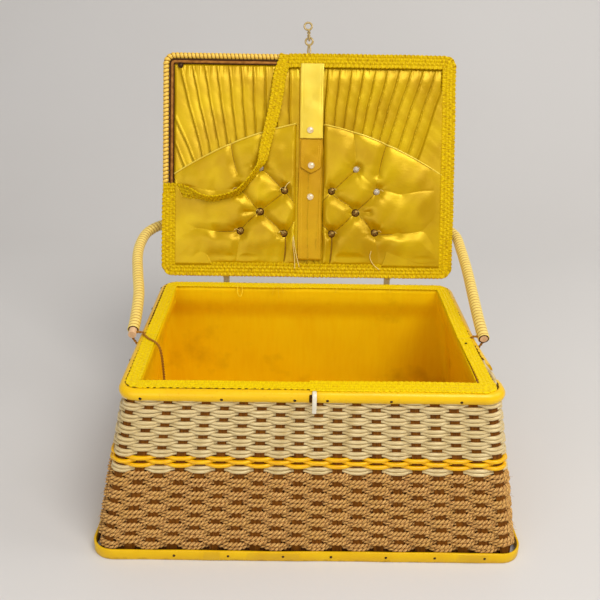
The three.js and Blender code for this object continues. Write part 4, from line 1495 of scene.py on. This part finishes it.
def make_lid_braid():
    """Braid round the lining, from where it still holds on the left to where it has torn at the top."""
    inset = 8.0
    first = lid_spot(inset, t=BRAID_SIDE_END) - girth(LID_SIZE, inset)
    spots = np.arange(first, lid_spot(inset, x=BRAID_TOP_END), 0.45)
    section = gimp(spots, BRAID_WIDTH, 0.7, 1.5)
    section[..., 0] += (0.4 * wave(spots, 151, 40.0, 3))[:, None]
    shape = Shape()
    sweep(shape, on_lid(around_lid(spots, inset, 4.3)), section, LID_OUT)
    piece(shape, "lid_braid_gimp", LID_BRAID, "lid", "yellow_braid", "lid_braid")


def make_loose_braid():
    """The torn stretch of braid. It hangs across the pocket and rejoins the border on the left."""
    route = smooth_path(STRIP, 0.45)
    spots = arc_lengths(route)
    share = spots / spots[-1]
    section = gimp(spots, STRIP_WIDTH, 0.4, 1.5, scallop=0.9)
    turn = np.radians(np.interp(share, *STRIP_TWIST))[:, None]
    c, s = np.cos(turn), np.sin(turn)
    side, up = section[..., 0] * (1 - 0.2 * np.sin(math.pi * share) ** 4)[:, None], section[..., 1] - 1.0
    shape = Shape()
    sweep(shape, on_lid(route), np.stack([side * c - up * s, side * s + up * c], -1), LID_OUT)
    made = piece(shape, "loose_braid_gimp", LID_BRAID, "lid", "yellow_braid", "loose_braid")


# ---------------------------------------------------------------- small fittings


# The left cord's loose tail, from the handle's end over the rim and down inside.
TAIL = [
    (-160.5, -17.7, 170.75),
    (-158, -22, 170.9),
    (-154.5, -27, 170.75),
    (-150, -31.5, 170.65),
    (-145.5, -35.5, 170.2),
    (-142, -38.4, 168),
    (-140, -40.4, 163),
    (-138.9, -41.6, 155),
    (-138.3, -42.3, 145),
    (-138, -42.8, 133),
    (-138, -43, 120),
]
CORD_RADIUS = 1.3
# A tie cord's loop as (distance from the middle, height): down behind the cane and back out below it.
TIE_LOOP = [
    (161.5, 170.9),
    (166.5, 171.0),
    (171.2, 170.4),
    (172.6, 167.6),
    (171, 163.8),
    (168.4, 159.4),
    (166.2, 155.8),
    (162.6, 154.2),
    (159.6, 157),
    (158.6, 162.5),
    (158.8, 168),
    (161.5, 170.9),
]


def make_tie_cords():
    """A twisted cord through each handle end, down between braid and cane and back out of the wall."""
    for name, side in (("tie_cord_left", -1), ("tie_cord_right", 1)):
        points = [(side * x, HANDLE_PLACE[1], z) for x, z in TIE_LOOP]
        shape = Shape()
        bundle(shape, smooth_path(points, 0.5)[:-1], CORD_RADIUS, 5.5, (0, 1, 0), closed=True)
        piece(shape, f"{name}_twist", TWINE, "basket", "twine", name)
    tail = smooth_path(TAIL, 0.5)
    shape = Shape()
    bundle(shape, tail, CORD_RADIUS, 5.5, (0, 1, 0.2))
    dome(shape, TAIL[-1], (0, -0.05, -1), 1.5, 2.2, 10)
    made = piece(shape, "tie_cord_tail_twist", TWINE, "basket", "twine", "tie_cord_tail")


def make_closure_peg():
    """A flat vinyl strand that comes out of the cane at the middle of the front and hangs down."""
    x, half_width, half_depth = 4.0, 1.9, 0.85
    spots = [(-127.9, 151.5), (-128.3, 157.5), (-128.4, 163)]
    spots += [(-127.4, 167.2), (-124.3, 169.2), (-120.5, 168.4)]
    path = smooth_path([(x, y, z) for y, z in spots], 0.8)
    round_section = circle(1, 14)
    section = (half_width, half_depth) * np.sign(round_section) * np.abs(round_section) ** 0.6
    shape = Shape()
    # It bends round the middle of the cane, and its flat side faces away from there.
    outward = path * (0, 1, 1) + (0, 119.6, -163.4)
    sweep(shape, path, section, unit(outward + (0, -1e-3, 0)))
    piece(shape, "closure_peg_strand", WHITE, "basket", "white_vinyl", "closure_peg")
    # painted shade: a dark patch where the strand goes into the cane
    hole = Shape()
    ends = np.array([(0.9, -124.7, 167.6), (0.7, -125.5, 164.0), (0.9, -124.9, 160.6)])
    sweep(hole, smooth_path(ends, 0.8), circle(1.15, 8) * (1, 0.5), (0, -1, 0.3))
    piece(hole, "closure_peg_hole_shade", PAINTED_SHADE, "basket", "stake_fibre")


def make_closure():
    """A vinyl cord eye on the lid's front edge and the twisted loop that hangs in it."""
    c, s = np.cos(angles(32)), np.sin(angles(32))
    eye = np.stack([-1 + 4 * s, 262 - 4 * c, 0.6 * s], -1)
    shape = Shape()
    sweep(shape, on_lid(eye), circle(1.2, 10), LID_OUT, closed=True)
    for lean in (-1, 1):
        leg = np.array([(0.9, 244.5, 2), (1.4, 251, 1.4), (0.6, 258.6, 0.2)]) * (lean, 1, lean) - (1, 0, 0)
        rod(shape, on_lid(leg), 1.0, LID_OUT)
    piece(shape, "closure_eye_cord", CLOSURE, "lid", "cream_vinyl", "closure_eye")
    link = Shape()
    bight = np.stack([0 * c - 1, 266 - 2.8 * c, 2.8 * s], -1)
    sweep(link, on_lid(bight), circle(1.15, 10), lid_direction(1, 0, 0), closed=True)
    t = np.linspace(268.0, 275.2, 24)
    for k in (0, math.pi):
        turn = (t - 268) / 7.2 * 2 * math.pi + k
        path = np.stack([-1.6 + 1.1 * np.cos(turn), t, 1.1 * np.sin(turn)], -1)
        sweep(link, on_lid(path), circle(0.95, 8), LID_OUT)
    ring = np.stack([-2.4 + 4.2 * s, 278.8 - 4.2 * c, 0.5 * c], -1)
    sweep(link, on_lid(ring), circle(1.15, 10), LID_OUT, closed=True)
    piece(link, "closure_loop_cord", CLOSURE, "closure_link", "cream_vinyl", "closure_loop")


def make_hinges():
    """Soft vinyl bands round the lid's rod, tucked down behind the rim."""
    for node in ("hinge_loop_left", "hinge_loop_right"):
        low, high = node_box(node)
        middle, half = (low[0] + high[0]) / 2, (high[0] - low[0]) * 0.38
        angle = np.radians(np.linspace(-80, 262, 44))
        ring = np.stack([0 * angle, 4.4 * np.cos(angle), 4.4 * np.sin(angle)], -1)
        ring = ring + (middle, *LID_PLACE[1:])
        tongue = [(middle, y, z) for y, z in ((126.15, 174.3), (126.05, 166), (126.05, 158), (126.05, 151))]
        path = np.concatenate([ring[::-1][:-1], smooth_path([ring[0], *tongue], 1.2)])
        across = np.linspace(-1, 1, 7)
        section = np.stack([half * across, 0.25 * (1 - across**2) + 0.35], -1)
        section = np.concatenate([section, np.stack([half * across[::-1], 0 * across - 0.5], -1)])
        side = np.broadcast_to((1.0, 0, 0), path.shape)
        ahead = np.gradient(path, axis=0)
        above = unit(np.cross(ahead, side))
        rings = path[:, None] + section[None, :, :1] * side[:, None] + section[None, :, 1:] * above[:, None]
        shape = Shape()
        shape.tube(rings)
        piece(shape, f"{node}_band", CLEAR, "basket", "white_vinyl", node, sharp=60)


# ---------------------------------------------------------------- everything, in order

make_camera()
make_light()
make_stage()
make_loose_braid()
make_tie_cords()

make_cream_weave()
make_yellow_weave()
make_seagrass_weave()
make_fuzz()
make_stakes()
make_base()
make_cane()
make_bared_weave()
make_rim_braid()
make_rim_stitches()
make_rim_nails()
make_frays()
make_lining()

make_handle()
make_lid_rod()
make_board_edge()
make_lid_back()
make_lid_satin()
make_pocket("pocket_left", -1, 14.0, 151.0)
make_pocket("pocket_right", 1, 17.0, 151.0)
make_tufts()
make_strap()
make_snap("snap_cap_top", "lid", 1.5, 162, 6.8)
make_snap("snap_cap_bottom", "lid", 2.5, 87.5, 5.2)
make_snap("snap_cap_tab", "strap_end", 3, 122.5, 6.7)
make_tacks()
make_lid_braid()
make_closure_peg()
make_closure()
make_hinges()
